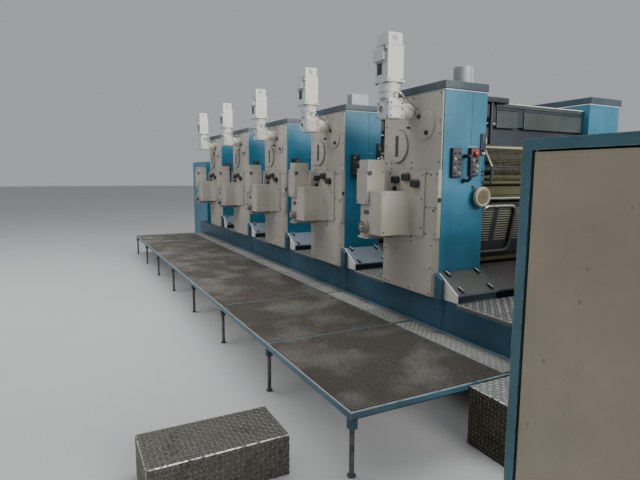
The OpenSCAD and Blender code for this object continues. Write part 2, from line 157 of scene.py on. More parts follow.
class Finish:
    """A material under construction around one Principled shader."""

    def __init__(self, name, **constants):
        self.material = bpy.data.materials.new(name)
        self.material.use_nodes = True
        self.tree = self.material.node_tree
        self.tree.nodes.clear()
        self.shader = self.node("ShaderNodeBsdfPrincipled")
        self.node("ShaderNodeOutputMaterial", inputs={"Surface": self.shader.outputs[0]})
        self.place = self.node("ShaderNodeTexCoord").outputs["Object"]
        for socket, value in constants.items():
            self.shader.inputs[socket.replace("_", " ")].default_value = value

    def node(self, kind, settings=None, inputs=None):
        return add_node(self.tree, kind, settings, inputs)

    def scaled(self, stretch):
        settings = {"operation": "MULTIPLY"}
        return self.node("ShaderNodeVectorMath", settings, {0: self.place, 1: stretch}).outputs[0]

    def noise(self, scale, detail, stretch=(1, 1, 1)):
        """Soft random clouds. A small stretch along an axis makes them long in that direction."""
        inputs = {"Vector": self.scaled(stretch), "Scale": scale, "Detail": detail}
        inputs["Roughness"] = NOISE_ROUGHNESS
        return Value(self.node("ShaderNodeTexNoise", inputs=inputs).outputs["Fac"])

    def cells(self, scale):
        """The distance from the middle of the nearest of many flat cells."""
        inputs = {"Vector": self.place, "Scale": scale}
        return Value(self.node("ShaderNodeTexVoronoi", inputs=inputs).outputs["Distance"])

    def along(self, axis):
        """The place along one axis of the press, in metres."""
        return Value(self.node("ShaderNodeSeparateXYZ", inputs={0: self.place}).outputs[axis])

    def height(self):
        """Height above the floor in metres."""
        return self.along("Z")

    def corners(self, distance):
        """Rises to 1 where other surfaces stand close, where shade falls; the finishes use it to paint shade
        into corners.
        """
        occlusion = self.node("ShaderNodeAmbientOcclusion", CORNER_SAMPLES, {"Distance": distance})
        return 1 - Value(occlusion.outputs["AO"])

    def edges(self, radius):
        """Rises to 1 along the piece's sharp and rounded edges."""
        rounded = self.node("ShaderNodeBevel", EDGE_SAMPLES, {"Radius": radius}).outputs[0]
        flat = self.node("ShaderNodeNewGeometry").outputs["Normal"]
        facing = self.node("ShaderNodeVectorMath", {"operation": "DOT_PRODUCT"}, {0: rounded, 1: flat})
        return 1 - Value(facing.outputs["Value"])

    def facing(self, direction):
        """Rises to 1 on the faces that look in one direction."""
        flat = self.node("ShaderNodeNewGeometry").outputs["Normal"]
        turned = self.node("ShaderNodeVectorMath", {"operation": "DOT_PRODUCT"}, {0: flat, 1: direction})
        return Value(turned.outputs["Value"])

    def mix(self, factor, under, over):
        """One colour over another."""
        def colour(value):
            return (*value, 1) if isinstance(value, tuple) else value
        settings = {"data_type": "RGBA"}
        inputs = {MIX_FACTOR: factor, MIX_UNDER: colour(under), MIX_OVER: colour(over)}
        return self.node("ShaderNodeMix", settings, inputs).outputs[MIX_COLOUR]

    def put(self, socket, value):
        """Feeds one input of the shader."""
        source = value.socket if isinstance(value, Value) else value
        self.tree.links.new(source, self.shader.inputs[socket])

    def bump(self, height, distance, strength):
        """Small bumps that the light shows but the mesh doesn't have. The distance is in metres."""
        inputs = {"Height": height, "Distance": distance, "Strength": strength}
        self.put("Normal", self.node("ShaderNodeBump", inputs=inputs).outputs[0])


# %% [markdown]
# ## Machine paint
# The press wears a hard two-pack enamel: smooth, a little uneven like orange peel, with a satin gloss.
# One recipe serves every painted part. Its settings are the colour, how grimy it is, with a painted
# shade in its corners, and how far its edges are rubbed through to the metal. Thin dark runs below the
# seams come from a noise that is stretched along the height.

# %% Painted metal
# The grime colour is also the colour of the painted shade in corners, which reaches as far as the corner
# reach below.
GRIME_AND_SHADE = (0.045, 0.034, 0.022)
WALK_SIDE = (0, -1, 0)
BARE = (0.42, 0.42, 0.41)
POLISHED_CROWN = (0.40, 0.44, 0.45)
RUST = (0.10, 0.042, 0.018)
EDGE_WIDTH = 0.0035
CORNER_SHADE_REACH = 0.07


def paint(name, colour, grime_and_shade, wear, gloss=0.36, fade=0.12, spread=0.0, worn_top=None, painted_shade_side=None,
        rust=0.0, scuffs=0.0):
    """Satin enamel with blotches, runs, soiling and painted shade in corners, edges rubbed in places, wider
    with spread, and a painted shade on faces that look out when a side colour is given.
    """
    finish = Finish(name)
    blotch = finish.noise(2.3, 4.0).step(0.35, 0.7)
    speck = finish.noise(130.0, 2.0)
    runs = finish.noise(9.0, 4.0, (1.6, 1.6, 0.12)).step(0.52, 0.78)
    smudge = finish.noise(5.5, 5.0).step(0.55, 0.72) * finish.noise(37.0, 3.0).step(0.35, 0.7)
    # Painted shade: the corner mask darkens corners where shade falls, mixed with runs and smudges of real
    # grime.
    dirt_and_shade = (finish.corners(CORNER_SHADE_REACH).step(0.25, 0.95) * 0.9 + runs * 0.22 + smudge * 0.3) * grime_and_shade
    patches = finish.noise(24.0, 3.0).step(0.42 - spread, 0.62 - spread)
    rubbed = finish.edges(EDGE_WIDTH).step(0.02, 0.16) * patches * wear
    pale = tuple(min(1.0, part * (1 + 2 * fade) + 0.01) for part in colour)
    deep = tuple(part * (1 - fade) for part in colour)
    base = finish.mix(blotch, deep, pale)
    # Painted shade: faces that look out towards the walkway get the darker side colour.
    if painted_shade_side:
        base = finish.mix((finish.facing(WALK_SIDE).step(0.5, 0.9) * 0.8).clamped(), base, painted_shade_side)
    if worn_top:
        from_height, from_side, from_near = worn_top
        crown = finish.height().step(from_height, from_height + 0.003)
        crown = crown * finish.noise(14.0, 3.0).step(0.25, 0.5)
        side = finish.along("Y")
        outer = (side * side).step(from_side ** 2, from_side ** 2 + 0.02)
        outer = outer + finish.along("X").step(from_near, from_near + 0.005)
        base = finish.mix((crown * outer * 0.9).clamped(), base, POLISHED_CROWN)
    if scuffs:
        knocks = finish.noise(27.0, 3.0, (1.5, 1.5, 0.6)).step(0.695, 0.75)
        knocks = knocks * finish.noise(90.0, 3.0).step(0.35, 0.6)
        base = finish.mix((knocks * scuffs).clamped(), base, GRIME_AND_SHADE)
    if rust:
        stain = finish.noise(3.1, 6.0).step(0.5, 0.68) * finish.noise(21.0, 4.0).step(0.38, 0.62)
        base = finish.mix((stain * rust).clamped(), base, RUST)
    base = finish.mix((dirt_and_shade * (0.7 + speck * 0.6)).clamped(), base, GRIME_AND_SHADE)
    base = finish.mix(rubbed.clamped(), base, BARE)
    finish.put("Base Color", base)
    finish.put("Metallic", (rubbed * 0.8).clamped())
    finish.put("Roughness", (gloss + dirt_and_shade * 0.4 + blotch * 0.06 - rubbed * 0.08).clamped())
    finish.bump(finish.noise(320.0, 2.0) * 0.4 + finish.noise(26.0, 2.0) * 0.6, 0.0004, 0.5)
    return finish.material


RUB_HEIGHT = 0.3425
RUB_SIDE = 2.27
RUB_BACK = -855
press_blue = paint("press_blue", (0.030, 0.165, 0.255), grime_and_shade=0.4, wear=0.55)
walkway_blue = paint("walkway_blue", (0.04, 0.115, 0.16), grime_and_shade=0.5, wear=1.2, spread=0.15,
    worn_top=(RUB_HEIGHT, RUB_SIDE, at(RUB_BACK, 0, 0).x))
cabinet_blue = paint("cabinet_blue", (0.039, 0.12, 0.155), grime_and_shade=0.35, wear=0.9, spread=0.06)
plinth_blue = paint("plinth_blue", (0.010, 0.06, 0.10), grime_and_shade=0.6, wear=0.5)
inner_blue = paint("inner_blue", (0.012, 0.022, 0.034), grime_and_shade=0.5, wear=0.2, gloss=0.45)
panel_beige = paint("panel_beige", (0.385, 0.36, 0.305), grime_and_shade=0.5, wear=0.18, fade=0.06)
motor_cream = paint("motor_cream", (0.62, 0.605, 0.54), grime_and_shade=0.45, wear=0.22, fade=0.05)
# Gearmotor cream and box grey get a painted shade, a darker colour, on the faces that look out.
drive_cream_painted_shade = paint("drive_cream_painted_shade", (0.62, 0.605, 0.54), grime_and_shade=0.5, wear=0.22, fade=0.05,
    painted_shade_side=(0.37, 0.45, 0.49))
box_grey_painted_shade = paint("box_grey_painted_shade", (0.36, 0.385, 0.385), grime_and_shade=0.45, wear=0.3, painted_shade_side=(0.17, 0.20, 0.22))
cap_slate = paint("cap_slate", (0.042, 0.064, 0.082), grime_and_shade=0.35, wear=0.4)
trim_white = paint("trim_white", (0.62, 0.66, 0.66), grime_and_shade=0.35, wear=0.2)
trim_cream = paint("trim_cream", (0.35, 0.335, 0.22), grime_and_shade=0.4, wear=0.3)
cover_grey = paint("cover_grey", (0.138, 0.168, 0.20), grime_and_shade=0.45, wear=0.3)
cover_green = paint("cover_green", (0.049, 0.058, 0.047), grime_and_shade=0.5, wear=0.3)
beam_grey = paint("beam_grey", (0.044, 0.058, 0.057), grime_and_shade=0.7, wear=0.4)
# The liner's pale colour stands in for light seen through the guard's slots.
liner_painted_light = paint("liner_painted_light", (0.45, 0.43, 0.31), grime_and_shade=0.5, wear=0.1)
guard_olive = paint("guard_olive", (0.068, 0.067, 0.021), grime_and_shade=0.65, wear=0.3, gloss=0.42)
guard_dark = paint("guard_dark", (0.014, 0.02, 0.024), grime_and_shade=0.4, wear=0.12, gloss=0.62)
floor_dark = paint("floor_dark", (0.048, 0.045, 0.046), grime_and_shade=0.55, wear=0.4, gloss=0.42, rust=0.6)
cabinet_beige = paint("cabinet_beige", (0.34, 0.288, 0.21), grime_and_shade=0.35, wear=0.12, fade=0.05, scuffs=0.75)
print("paints:", len(bpy.data.materials))

# %% [markdown]
# ## Bare metals
# Chequer plate is rolled aluminium: bright on the lozenges, dull, dirty and darkened by painted shade between
# them.
# Zinc-coated steel shows flat crystals, which Voronoi cells give in slightly different greys.
# The walkway bars are steel that oil and feet have turned brown.

# %% Metals
def chequer_metal(name, bright, dull, dirtier, rough, plinth_shade=None, spots=0.15, top=None):
    """Rolled metal, scratched by boots, dull in the low places, with painted shade there too. It may get a
    painted shade in a band beside the plinth, and a lighter colour on top as painted light."""
    finish = Finish(name, Metallic=0.85)
    # Painted shade: the corner mask darkens the low places beside the lozenges; the noise adds dirt.
    dirt_and_shade = (finish.corners(0.02).step(0.1, 0.75) * 0.7 + finish.noise(6.0, 5.0).step(0.5, 0.75) * 0.5)
    # Painted light: faces that look up get a lighter colour than the sides, which are painted as if in shade.
    if top:
        bright = finish.mix(finish.facing((0, 0, 1)).step(0.5, 0.9).clamped(), bright, top)
    # Painted shade: a dark band on the strip next to the plinth, where shade falls.
    if plinth_shade:
        side = finish.along("Y")
        dirt_and_shade = dirt_and_shade + (1 - (side * side).step(plinth_shade[0] ** 2, plinth_shade[1] ** 2)) * 0.9
    scratch = finish.noise(60.0, 4.0, (1, 7, 1)).step(0.52, 0.66)
    dirt_and_shade = dirt_and_shade + finish.noise(70.0, 3.0).step(0.44, 0.6) * spots
    finish.put("Base Color", finish.mix((dirt_and_shade * 0.75 + dirtier).clamped(), bright, dull))
    finish.put("Roughness", (rough + dirt_and_shade * 0.3 + scratch * 0.18).clamped())
    finish.bump(scratch + finish.noise(200.0, 2.0), 0.0003, 0.6)
    return finish.material


def zinc(name, colour=(0.44, 0.455, 0.465)):
    """Zinc-coated steel with its flat crystals."""
    finish = Finish(name, Metallic=0.75)
    crystal = finish.cells(70.0).step(0.0, 0.8)
    stain = finish.noise(7.0, 4.0).step(0.45, 0.75)
    dark = tuple(part * 0.86 for part in colour)
    dusty = (0.16, 0.145, 0.12)
    shade = finish.mix(crystal, colour, dark)
    finish.put("Base Color", finish.mix((stain * 0.35).clamped(), shade, dusty))
    finish.put("Roughness", (0.3 + crystal * 0.15 + stain * 0.2).clamped())
    finish.bump(finish.noise(90.0, 3.0), 0.0004, 0.4)
    return finish.material


def painted_highlight_tube(name, highlight_from):
    """Dull tube whose plating is painted pale and glossy above a height: a painted highlight on its upper
    run.
    """
    finish = Finish(name, Metallic=0.7)
    highlit = finish.height().step(highlight_from, highlight_from + 0.03)
    stain = finish.noise(19.0, 4.0).step(0.4, 0.7)
    dull = (0.15, 0.142, 0.125)
    highlight_colour = (0.60, 0.60, 0.56)
    oily = (0.12, 0.105, 0.085)
    shade = finish.mix(highlit, dull, highlight_colour)
    finish.put("Base Color", finish.mix((stain * 0.5).clamped(), shade, oily))
    finish.put("Roughness", (0.48 - highlit * 0.16 + stain * 0.2).clamped())
    finish.bump(finish.noise(90.0, 3.0), 0.0003, 0.4)
    return finish.material


def socket_steel(name, socket_from):
    """Grey leg tube, painted above the height where its socket begins."""
    finish = Finish(name)
    painted = finish.height().step(socket_from, socket_from + 0.002)
    stain = finish.noise(23.0, 4.0).step(0.42, 0.7)
    bare_tube = (0.14, 0.142, 0.136)
    socket_blue = (0.03, 0.085, 0.115)
    grimy = (0.05, 0.043, 0.033)
    shade = finish.mix(painted, bare_tube, socket_blue)
    finish.put("Base Color", finish.mix((stain * 0.6).clamped(), shade, grimy))
    finish.put("Metallic", (0.6 - painted * 0.6).clamped())
    finish.put("Roughness", (0.4 + stain * 0.25).clamped())
    finish.bump(finish.noise(120.0, 3.0), 0.0003, 0.4)
    return finish.material


def trodden_steel(name):
    """Grating bars: brown oily steel, rubbed lighter in patches where people walk."""
    finish = Finish(name, Metallic=0.55)
    trodden = finish.noise(2.6, 4.0).step(0.42, 0.68)
    rust = finish.noise(34.0, 5.0).step(0.5, 0.7)
    oily = (0.20, 0.183, 0.155)
    rubbed = (0.41, 0.388, 0.348)
    brown = (0.14, 0.085, 0.05)
    shade = finish.mix(trodden, oily, rubbed)
    finish.put("Base Color", finish.mix((rust * 0.45).clamped(), shade, brown))
    finish.put("Roughness", (0.42 + rust * 0.3 - trodden * 0.1).clamped())
    finish.bump(rust, 0.0004, 0.5)
    return finish.material


def polished(name, colour, rough):
    """Turned or plated metal of screws, pipes and connectors."""
    finish = Finish(name, Metallic=1.0)
    haze = finish.noise(42.0, 4.0).step(0.4, 0.75)
    dark = tuple(part * 0.5 for part in colour)
    finish.put("Base Color", finish.mix((haze * 0.5).clamped(), colour, dark))
    finish.put("Roughness", (rough + haze * 0.2).clamped())
    return finish.material


# The band beside the plinth, as distances from the press's middle, where the strip gets a painted shade.
PLINTH_SHADE = (1.02, 1.13)
# Height above which the guard tube gets its painted highlight.
HIGHLIGHT_FROM = 1.235
SOCKET_FROM = 0.253
tread_plate = chequer_metal("tread_plate", (0.215, 0.212, 0.203), (0.075, 0.067, 0.056), 0.15, 0.47)
tread_ridge = chequer_metal("tread_ridge", (0.42, 0.415, 0.40), (0.14, 0.128, 0.11), 0.0, 0.5)
strip_plate = chequer_metal("strip_plate", (0.38, 0.374, 0.34), (0.065, 0.06, 0.05), 0.1, 0.55, PLINTH_SHADE)
strip_ridge = chequer_metal("strip_ridge", (0.42, 0.413, 0.38), (0.085, 0.078, 0.068), 0.03, 0.6, PLINTH_SHADE)
step_plate = chequer_metal("step_plate", (0.15, 0.142, 0.12), (0.042, 0.036, 0.027), 0.1, 0.45, spots=0.5)
step_ridge = chequer_metal("step_ridge", (0.28, 0.27, 0.24), (0.07, 0.062, 0.045), 0.0, 0.38, spots=0.5)
# The end step: painted shade on its dark sides and painted light on its top.
end_step_plate_lit_top = chequer_metal("end_step_plate_lit_top", (0.088, 0.077, 0.056), (0.03, 0.024, 0.016), 0.1, 0.5,
    spots=0.4, top=(0.42, 0.425, 0.40))
end_step_ridge_lit_top = chequer_metal("end_step_ridge_lit_top", (0.20, 0.185, 0.15), (0.07, 0.058, 0.038), 0.0, 0.42,
    spots=0.4, top=(0.52, 0.52, 0.49))
step_edge = chequer_metal("step_edge", (0.70, 0.69, 0.66), (0.10, 0.09, 0.072), 0.0, 0.26, spots=1.1)
zinc_steel = zinc("zinc_steel")
grating_steel = trodden_steel("grating_steel")
bright_tube = zinc("bright_tube", (0.62, 0.62, 0.58))
# The guard tube, with a painted highlight on its upper run.
tube_painted_highlight = painted_highlight_tube("tube_painted_highlight", HIGHLIGHT_FROM)
leg_steel = socket_steel("leg_steel", SOCKET_FROM)
screw_steel = polished("screw_steel", (0.16, 0.155, 0.15), 0.38)
pipe_steel = polished("pipe_steel", (0.66, 0.66, 0.65), 0.22)
inked_steel = polished("inked_steel", (0.09, 0.092, 0.10), 0.3)
oily_copper = polished("oily_copper", (0.30, 0.16, 0.08), 0.42)

# %% [markdown]
# ## Plastics, rubber and wood
# Knobs, strips and handles are moulded: a fine spark-eroded grain, a little dust on top.
# The pile boards are raw planks, so their grain runs along the board and each plank differs.

# %% Plastics and wood
def plastic(name, colour, rough=0.42, dust=0.35):
    """Moulded plastic with a fine grain and some dust."""
    finish = Finish(name)
    film = finish.noise(11.0, 4.0).step(0.45, 0.8)
    dusty = tuple(part * 0.75 + 0.09 for part in colour)
    finish.put("Base Color", finish.mix((film * dust).clamped(), colour, dusty))
    finish.put("Roughness", (rough + film * 0.2).clamped())
    finish.bump(finish.noise(420.0, 1.0), 0.0002, 0.5)
    return finish.material


def plank(name):
    """Raw softwood with long grain and grey use marks."""
    finish = Finish(name, Roughness=0.72)
    grain = finish.noise(14.0, 6.0, (0.6, 9.0, 9.0)).step(0.3, 0.72)
    use = finish.noise(3.2, 4.0).step(0.45, 0.75)
    pale = (0.46, 0.31, 0.165)
    dark = (0.27, 0.16, 0.075)
    grey = (0.2, 0.17, 0.135)
    shade = finish.mix(grain, pale, dark)
    finish.put("Base Color", finish.mix((use * 0.4).clamped(), shade, grey))
    finish.bump(grain, 0.0006, 0.6)
    return finish.material


black_plastic = plastic("black_plastic", (0.013, 0.014, 0.016))
rubber = plastic("rubber", (0.02, 0.02, 0.02), rough=0.6, dust=0.5)
cream_plastic = plastic("cream_plastic", (0.36, 0.33, 0.25), rough=0.34, dust=0.2)
tan_disc = plastic("tan_disc", (0.14, 0.12, 0.06), rough=0.45)
wheel_cream = plastic("wheel_cream", (0.41, 0.375, 0.28), rough=0.38, dust=0.3)
red_plastic = plastic("red_plastic", (0.33, 0.03, 0.028), rough=0.3, dust=0.15)
green_plastic = plastic("green_plastic", (0.022, 0.10, 0.045), rough=0.3, dust=0.15)
grey_plastic = plastic("grey_plastic", (0.22, 0.225, 0.23))
dark_grey = plastic("dark_grey", (0.055, 0.058, 0.065))
smoked_window = plastic("smoked_window", (0.012, 0.016, 0.018), rough=0.12, dust=0.12)
sign_red = plastic("sign_red", (0.18, 0.055, 0.052), rough=0.4)
pile_wood = plank("pile_wood")
print("finishes:", len(bpy.data.materials))

# %% [markdown]
# ## Making solid pieces
# A fitter would weld, turn or mould each of these parts as one closed solid.
# `Shape` collects such solids in one mesh: boxes with rounded edges, turned rods and swept tubes.
# A bevel on every edge matters most here, because a real edge catches a thin line of light.

# %% The Shape helper
SHARP = math.radians(35)
THINNEST = 0.0002


def as_piece(name, mesh, finishes, body="press", stands_for=()):
    """Makes a mesh into a named piece that rides on a body and may stand for solids of the frame."""
    for finish in finishes:
        mesh.materials.append(finish)
    mesh.polygons.foreach_set("use_smooth", [True] * len(mesh.polygons))
    mesh.set_sharp_from_angle(angle=SHARP)
    piece = bpy.data.objects.new(name, mesh)
    bpy.context.scene.collection.objects.link(piece)
    weighted = piece.modifiers.new("weighted", "WEIGHTED_NORMAL")
    weighted.keep_sharp = True
    bake_modifiers(piece)
    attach(piece, body)
    if stands_for:
        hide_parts(*stands_for)
    return piece


def bake_modifiers(piece):
    """Turns what the modifiers give into the piece's own plain mesh."""
    graph = bpy.context.evaluated_depsgraph_get()
    mesh = bpy.data.meshes.new_from_object(piece.evaluated_get(graph))
    piece.modifiers.clear()
    piece.data = mesh


class Shape:
    """Closed solids that share one mesh. Sizes and edge widths are in millimetres."""

    def __init__(self):
        self.mesh = bmesh.new()

    def _finish(self, verts, edge, finish, segments):
        faces = list({face for vert in verts for face in vert.link_faces})
        for face in faces:
            face.material_index = finish
        if edge:
            edges = {e for face in faces for e in face.edges if e.calc_face_angle(0) > SHARP}
            bmesh.ops.bevel(self.mesh, geom=list(edges), offset=edge * MM, segments=segments,
                profile=0.5, affect="EDGES", clamp_overlap=True, material=-1)

    def box(self, corner, other, edge=2, finish=0, segments=2):
        """A box between two corner points, with rounded edges."""
        centre = (corner + other) / 2
        size = [max(abs(a - b), THINNEST) for a, b in zip(corner, other)]
        matrix = Matrix.Translation(centre) @ Matrix.Diagonal((*size, 1))
        made = bmesh.ops.create_cube(self.mesh, size=1, matrix=matrix)
        self._finish(made["verts"], edge, finish, segments)

    def rod(self, start, end, d, edge=0, finish=0, sides=20):
        """A turned rod from one point to another."""
        along = end - start
        matrix = Matrix.Translation((start + end) / 2) @ along.to_track_quat("Z", "Y").to_matrix().to_4x4()
        radius = d * MM / 2
        made = bmesh.ops.create_cone(self.mesh, cap_ends=True, segments=sides, radius1=radius,
            radius2=radius, depth=along.length, matrix=matrix)
        self._finish(made["verts"], edge, finish, segments=2)

    def ring(self, centre, axis, d, wire, finish=0, sides=24, wire_sides=8):
        """A ring of round wire about an axis."""
        turn = axis.to_track_quat("Z", "Y").to_matrix()
        loops = []
        for i in range(sides):
            angle = math.tau * i / sides
            spoke = Vector((math.cos(angle), math.sin(angle), 0))
            loop = []
            for j in range(wire_sides):
                bend = math.tau * j / wire_sides
                reach = (d + wire * math.cos(bend)) * MM / 2
                lift = Vector((0, 0, wire * math.sin(bend) * MM / 2))
                loop.append(self.mesh.verts.new(centre + turn @ (spoke * reach + lift)))
            loops.append(loop)
        for i in range(sides):
            first, second = loops[i], loops[(i + 1) % sides]
            for j in range(wire_sides):
                k = (j + 1) % wire_sides
                face = self.mesh.faces.new((first[j], second[j], second[k], first[k]))
                face.material_index = finish

    def block(self, back, out, height, unit=1, edge=2, finish=0, segments=2):
        """A box between two places back, two places out and two heights."""
        low, high = at(back[0], out[0], height[0], unit), at(back[1], out[1], height[1], unit)
        self.box(low, high, edge, finish, segments)

    def slab(self, corners, offset, finish=0):
        """A flat plate: an outline of points, given its thickness by an offset."""
        low = [self.mesh.verts.new(corner) for corner in corners]
        high = [self.mesh.verts.new(corner + offset) for corner in corners]
        faces = [self.mesh.faces.new(low), self.mesh.faces.new(high[::-1])]
        for i in range(len(low)):
            j = (i + 1) % len(low)
            faces.append(self.mesh.faces.new((low[j], low[i], high[i], high[j])))
        for face in faces:
            face.material_index = finish
        bmesh.ops.recalc_face_normals(self.mesh, faces=faces)

    def turned(self, start, axis, profile, finish=0, sides=24):
        """A solid turned about an axis. The profile's (along, radius) pairs start and end on the axis."""
        turn = axis.to_track_quat("Z", "Y").to_matrix()
        loops = []
        for along, radius in profile:
            count = sides if radius else 1
            spokes = [(math.cos(math.tau * i / count), math.sin(math.tau * i / count)) for i in range(count)]
            loops.append([self.mesh.verts.new(start + turn @ Vector((x * radius, y * radius, along)) * MM)
                for x, y in spokes])
        for first, second in zip(loops, loops[1:]):
            for i in range(sides):
                j = (i + 1) % sides
                ring = (first[i % len(first)], first[j % len(first)],
                    second[j % len(second)], second[i % len(second)])
                if len(set(ring)) > 2:
                    self.mesh.faces.new(tuple(dict.fromkeys(ring))).material_index = finish

    def add(self, mesh, finish=0):
        """Takes in a ready mesh. Its faces may fill gaps between older ones, so those are kept in a set."""
        older = set(self.mesh.faces)
        self.mesh.from_mesh(mesh)
        for face in self.mesh.faces:
            if face not in older:
                face.material_index = finish

    def twin(self):
        """Adds the mirror image on the operator side, with its faces turned outwards again."""
        everything = self.mesh.verts[:] + self.mesh.edges[:] + self.mesh.faces[:]
        copied = bmesh.ops.duplicate(self.mesh, geom=everything)["geom"]
        for item in copied:
            if isinstance(item, bmesh.types.BMVert):
                item.co.y = -item.co.y
        faces = [item for item in copied if isinstance(item, bmesh.types.BMFace)]
        bmesh.ops.reverse_faces(self.mesh, faces=faces)

    def piece(self, name, finishes, body="press", slot=None, stands_for=()):
        mesh = bpy.data.meshes.new(name)
        self.mesh.to_mesh(mesh)
        self.mesh.free()
        return as_piece(name, mesh, finishes, body, stands_for)


SQUARE_ON = 0.999


def rounded_copy(node, finish, edge=3.0, body="press", segments=2, worn=None):
    """A copy of a solid with its sharp edges rounded, or worn bright, which then stands for it."""
    work = bmesh.new()
    work.from_mesh(solids[node].data)
    bmesh.ops.remove_doubles(work, verts=work.verts, dist=0.00002)
    bmesh.ops.dissolve_limit(work, angle_limit=math.radians(0.5), verts=work.verts, edges=work.edges)
    mesh = bpy.data.meshes.new(node + "_finished")
    work.to_mesh(mesh)
    work.free()
    piece = bpy.data.objects.new("work", mesh)
    bpy.context.scene.collection.objects.link(piece)
    bevel = piece.modifiers.new("edges", "BEVEL")
    bevel.width = edge * MM
    bevel.segments = segments
    bevel.limit_method = "ANGLE"
    bevel.angle_limit = SHARP
    bake_modifiers(piece)
    mesh = piece.data
    bpy.data.objects.remove(piece)
    if not worn:
        return as_piece(node + "_finished", mesh, [finish], body, [node])
    for face in mesh.polygons:
        face.material_index = int(max(abs(part) for part in face.normal) < SQUARE_ON)
    return as_piece(node + "_finished", mesh, [finish, worn], body, [node])


# %% [markdown]
# ## Painted main parts
# Housings, covers, caps and beams are folded or cast parts with small round edges.
# Each is a copy of its solid with a bevel, so its size and place stay those of the frame.
# Sheet covers get a fine edge and castings a broader one.

# %% Round the edges of the main parts
MAIN_PARTS = {
    "caps": (cap_slate, "cap_slate", 4), "operator_housings": (press_blue, "press_blue", 3),
    "operator_covers": (panel_beige, "panel_beige", 3), "inner_housings": (inner_blue, "plinth_blue", 3),
    "cross_beams": (inner_blue, "plinth_blue", 4), "guard_bars": (guard_olive, "guard_olive", 2),
    "plinths": (plinth_blue, "plinth_blue", 4), "press_bed": (plinth_blue, "plinth_blue", 4),
    "treads": (tread_plate, "tread_plate", 2), "bay_covers": (cover_grey, "cover_grey", 3),
    "bay_end_walls": (motor_cream, "motor_cream", 2), "floor_covers": (floor_dark, "guard_dark", 3),
    "cap_boxes": (box_grey_painted_shade, "zinc_steel", 3), "walkway_plates": (strip_plate, "tread_plate", 1),
    "walkway_legs": (leg_steel, "black_plastic", 2), "end_steps": (end_step_plate_lit_top, "tread_plate", 4),
    "step_boxes": (step_plate, "tread_plate", 5), "cabinet_body": (cabinet_blue, "press_blue", 4),
    "cabinet_plate": (zinc_steel, "zinc_steel", 1), "delivery_frames": (press_blue, "press_blue", 6),
    "delivery_hood": (panel_beige, "panel_beige", 5), "feeder_frames": (press_blue, "press_blue", 6),
    "feed_table": (zinc_steel, "zinc_steel", 4), "feeder_head": (panel_beige, "panel_beige", 6),
    "register_gearboxes": (panel_beige, "panel_beige", 5),
}
WORN_EDGES = {step_plate: step_edge, end_step_plate_lit_top: step_edge}
for node, (finish, slot, edge) in MAIN_PARTS.items():
    rounded_copy(node, finish, edge, worn=WORN_EDGES.get(finish))
for unit in unit_numbers:
    rounded_copy(f"unit_{unit}_frame", press_blue, 4)
    rounded_copy(f"unit_{unit}_side_cover", panel_beige, 4)
    rounded_copy(f"unit_{unit}_roller_housing", panel_beige, 4, segments=3)
    rounded_copy(f"unit_{unit}_gearmotor", drive_cream_painted_shade, 4)
rounded_copy("cabinet_door", cabinet_beige, 4, body="door", segments=3)
print("main parts:", len(MAIN_PARTS) + 4 * len(units) + 1)

# %% [markdown]
# ## Geometry Nodes for what repeats
# Screws, grating bars, mesh wires and the lozenges of chequer plate are one small shape many times over.
# A node tree places them by a rule, so changing a pitch changes the whole press.
# Each tree is built here, run once on a small carrier mesh, and its result kept as a plain mesh.

# %% Start, run and keep a geometry tree
KINDS = {"float": "NodeSocketFloat", "int": "NodeSocketInt", "vector": "NodeSocketVector",
    "turn": "NodeSocketRotation", "material": "NodeSocketMaterial"}


class Grower:
    """A geometry node tree with named inputs."""

    def __init__(self, name, **inputs):
        self.tree = bpy.data.node_groups.new(name, "GeometryNodeTree")
        self.tree.interface.new_socket("Geometry", in_out="INPUT", socket_type="NodeSocketGeometry")
        self.tree.interface.new_socket("Geometry", in_out="OUTPUT", socket_type="NodeSocketGeometry")
        self.inputs = {}
        for title, kind in inputs.items():
            item = self.tree.interface.new_socket(title, in_out="INPUT", socket_type=KINDS[kind])
            self.inputs[title] = item.identifier
        self.source = self.tree.nodes.new("NodeGroupInput")

    def node(self, kind, settings=None, inputs=None):
        return add_node(self.tree, kind, settings, inputs)

    def given(self, title):
        return Value(self.source.outputs[title])

    def end(self, geometry):
        """Makes the instances real, gives them their finish and closes the tree."""
        real = self.node("GeometryNodeRealizeInstances", inputs={"Geometry": geometry}).outputs[0]
        inputs = {"Geometry": real, "Material": self.given("finish")}
        coated = self.node("GeometryNodeSetMaterial", inputs=inputs).outputs[0]
        self.node("NodeGroupOutput", inputs={0: coated})

    def grow(self, carrier, **values):
        """Runs the tree on a carrier mesh and gives the result as a plain mesh."""
        obj = bpy.data.objects.new("carrier", carrier)
        bpy.context.scene.collection.objects.link(obj)
        modifier = obj.modifiers.new("grow", "NODES")
        modifier.node_group = self.tree
        for title, value in values.items():
            modifier[self.inputs[title]] = value
        bake_modifiers(obj)
        mesh = obj.data
        bpy.data.objects.remove(obj)
        return mesh


def carrier_of(points, edges=(), **vectors):
    """A small mesh of points, with vector attributes for the tree to read."""
    mesh = bpy.data.meshes.new("carrier")
    mesh.from_pydata([tuple(point) for point in points], list(edges), [])
    for title, values in vectors.items():
        layer = mesh.attributes.new(title, "FLOAT_VECTOR", "POINT")
        layer.data.foreach_set("vector", [part for value in values for part in value])
    return mesh


def joined(meshes):
    """Several meshes of one finish as one."""
    work = bmesh.new()
    for mesh in meshes:
        work.from_mesh(mesh)
    result = bpy.data.meshes.new("joined")
    work.to_mesh(result)
    work.free()
    for finish in meshes[0].materials:
        result.materials.append(finish)
    return result


# %% [markdown]
# ## Screws
# Covers are held by dark round-headed screws, which sit on the sheet and point out of it.
# The carrier has one vertex per screw and its direction as an attribute. The tree turns
# a small domed head to that direction: a low cylinder with a cone on it, nine sides round.

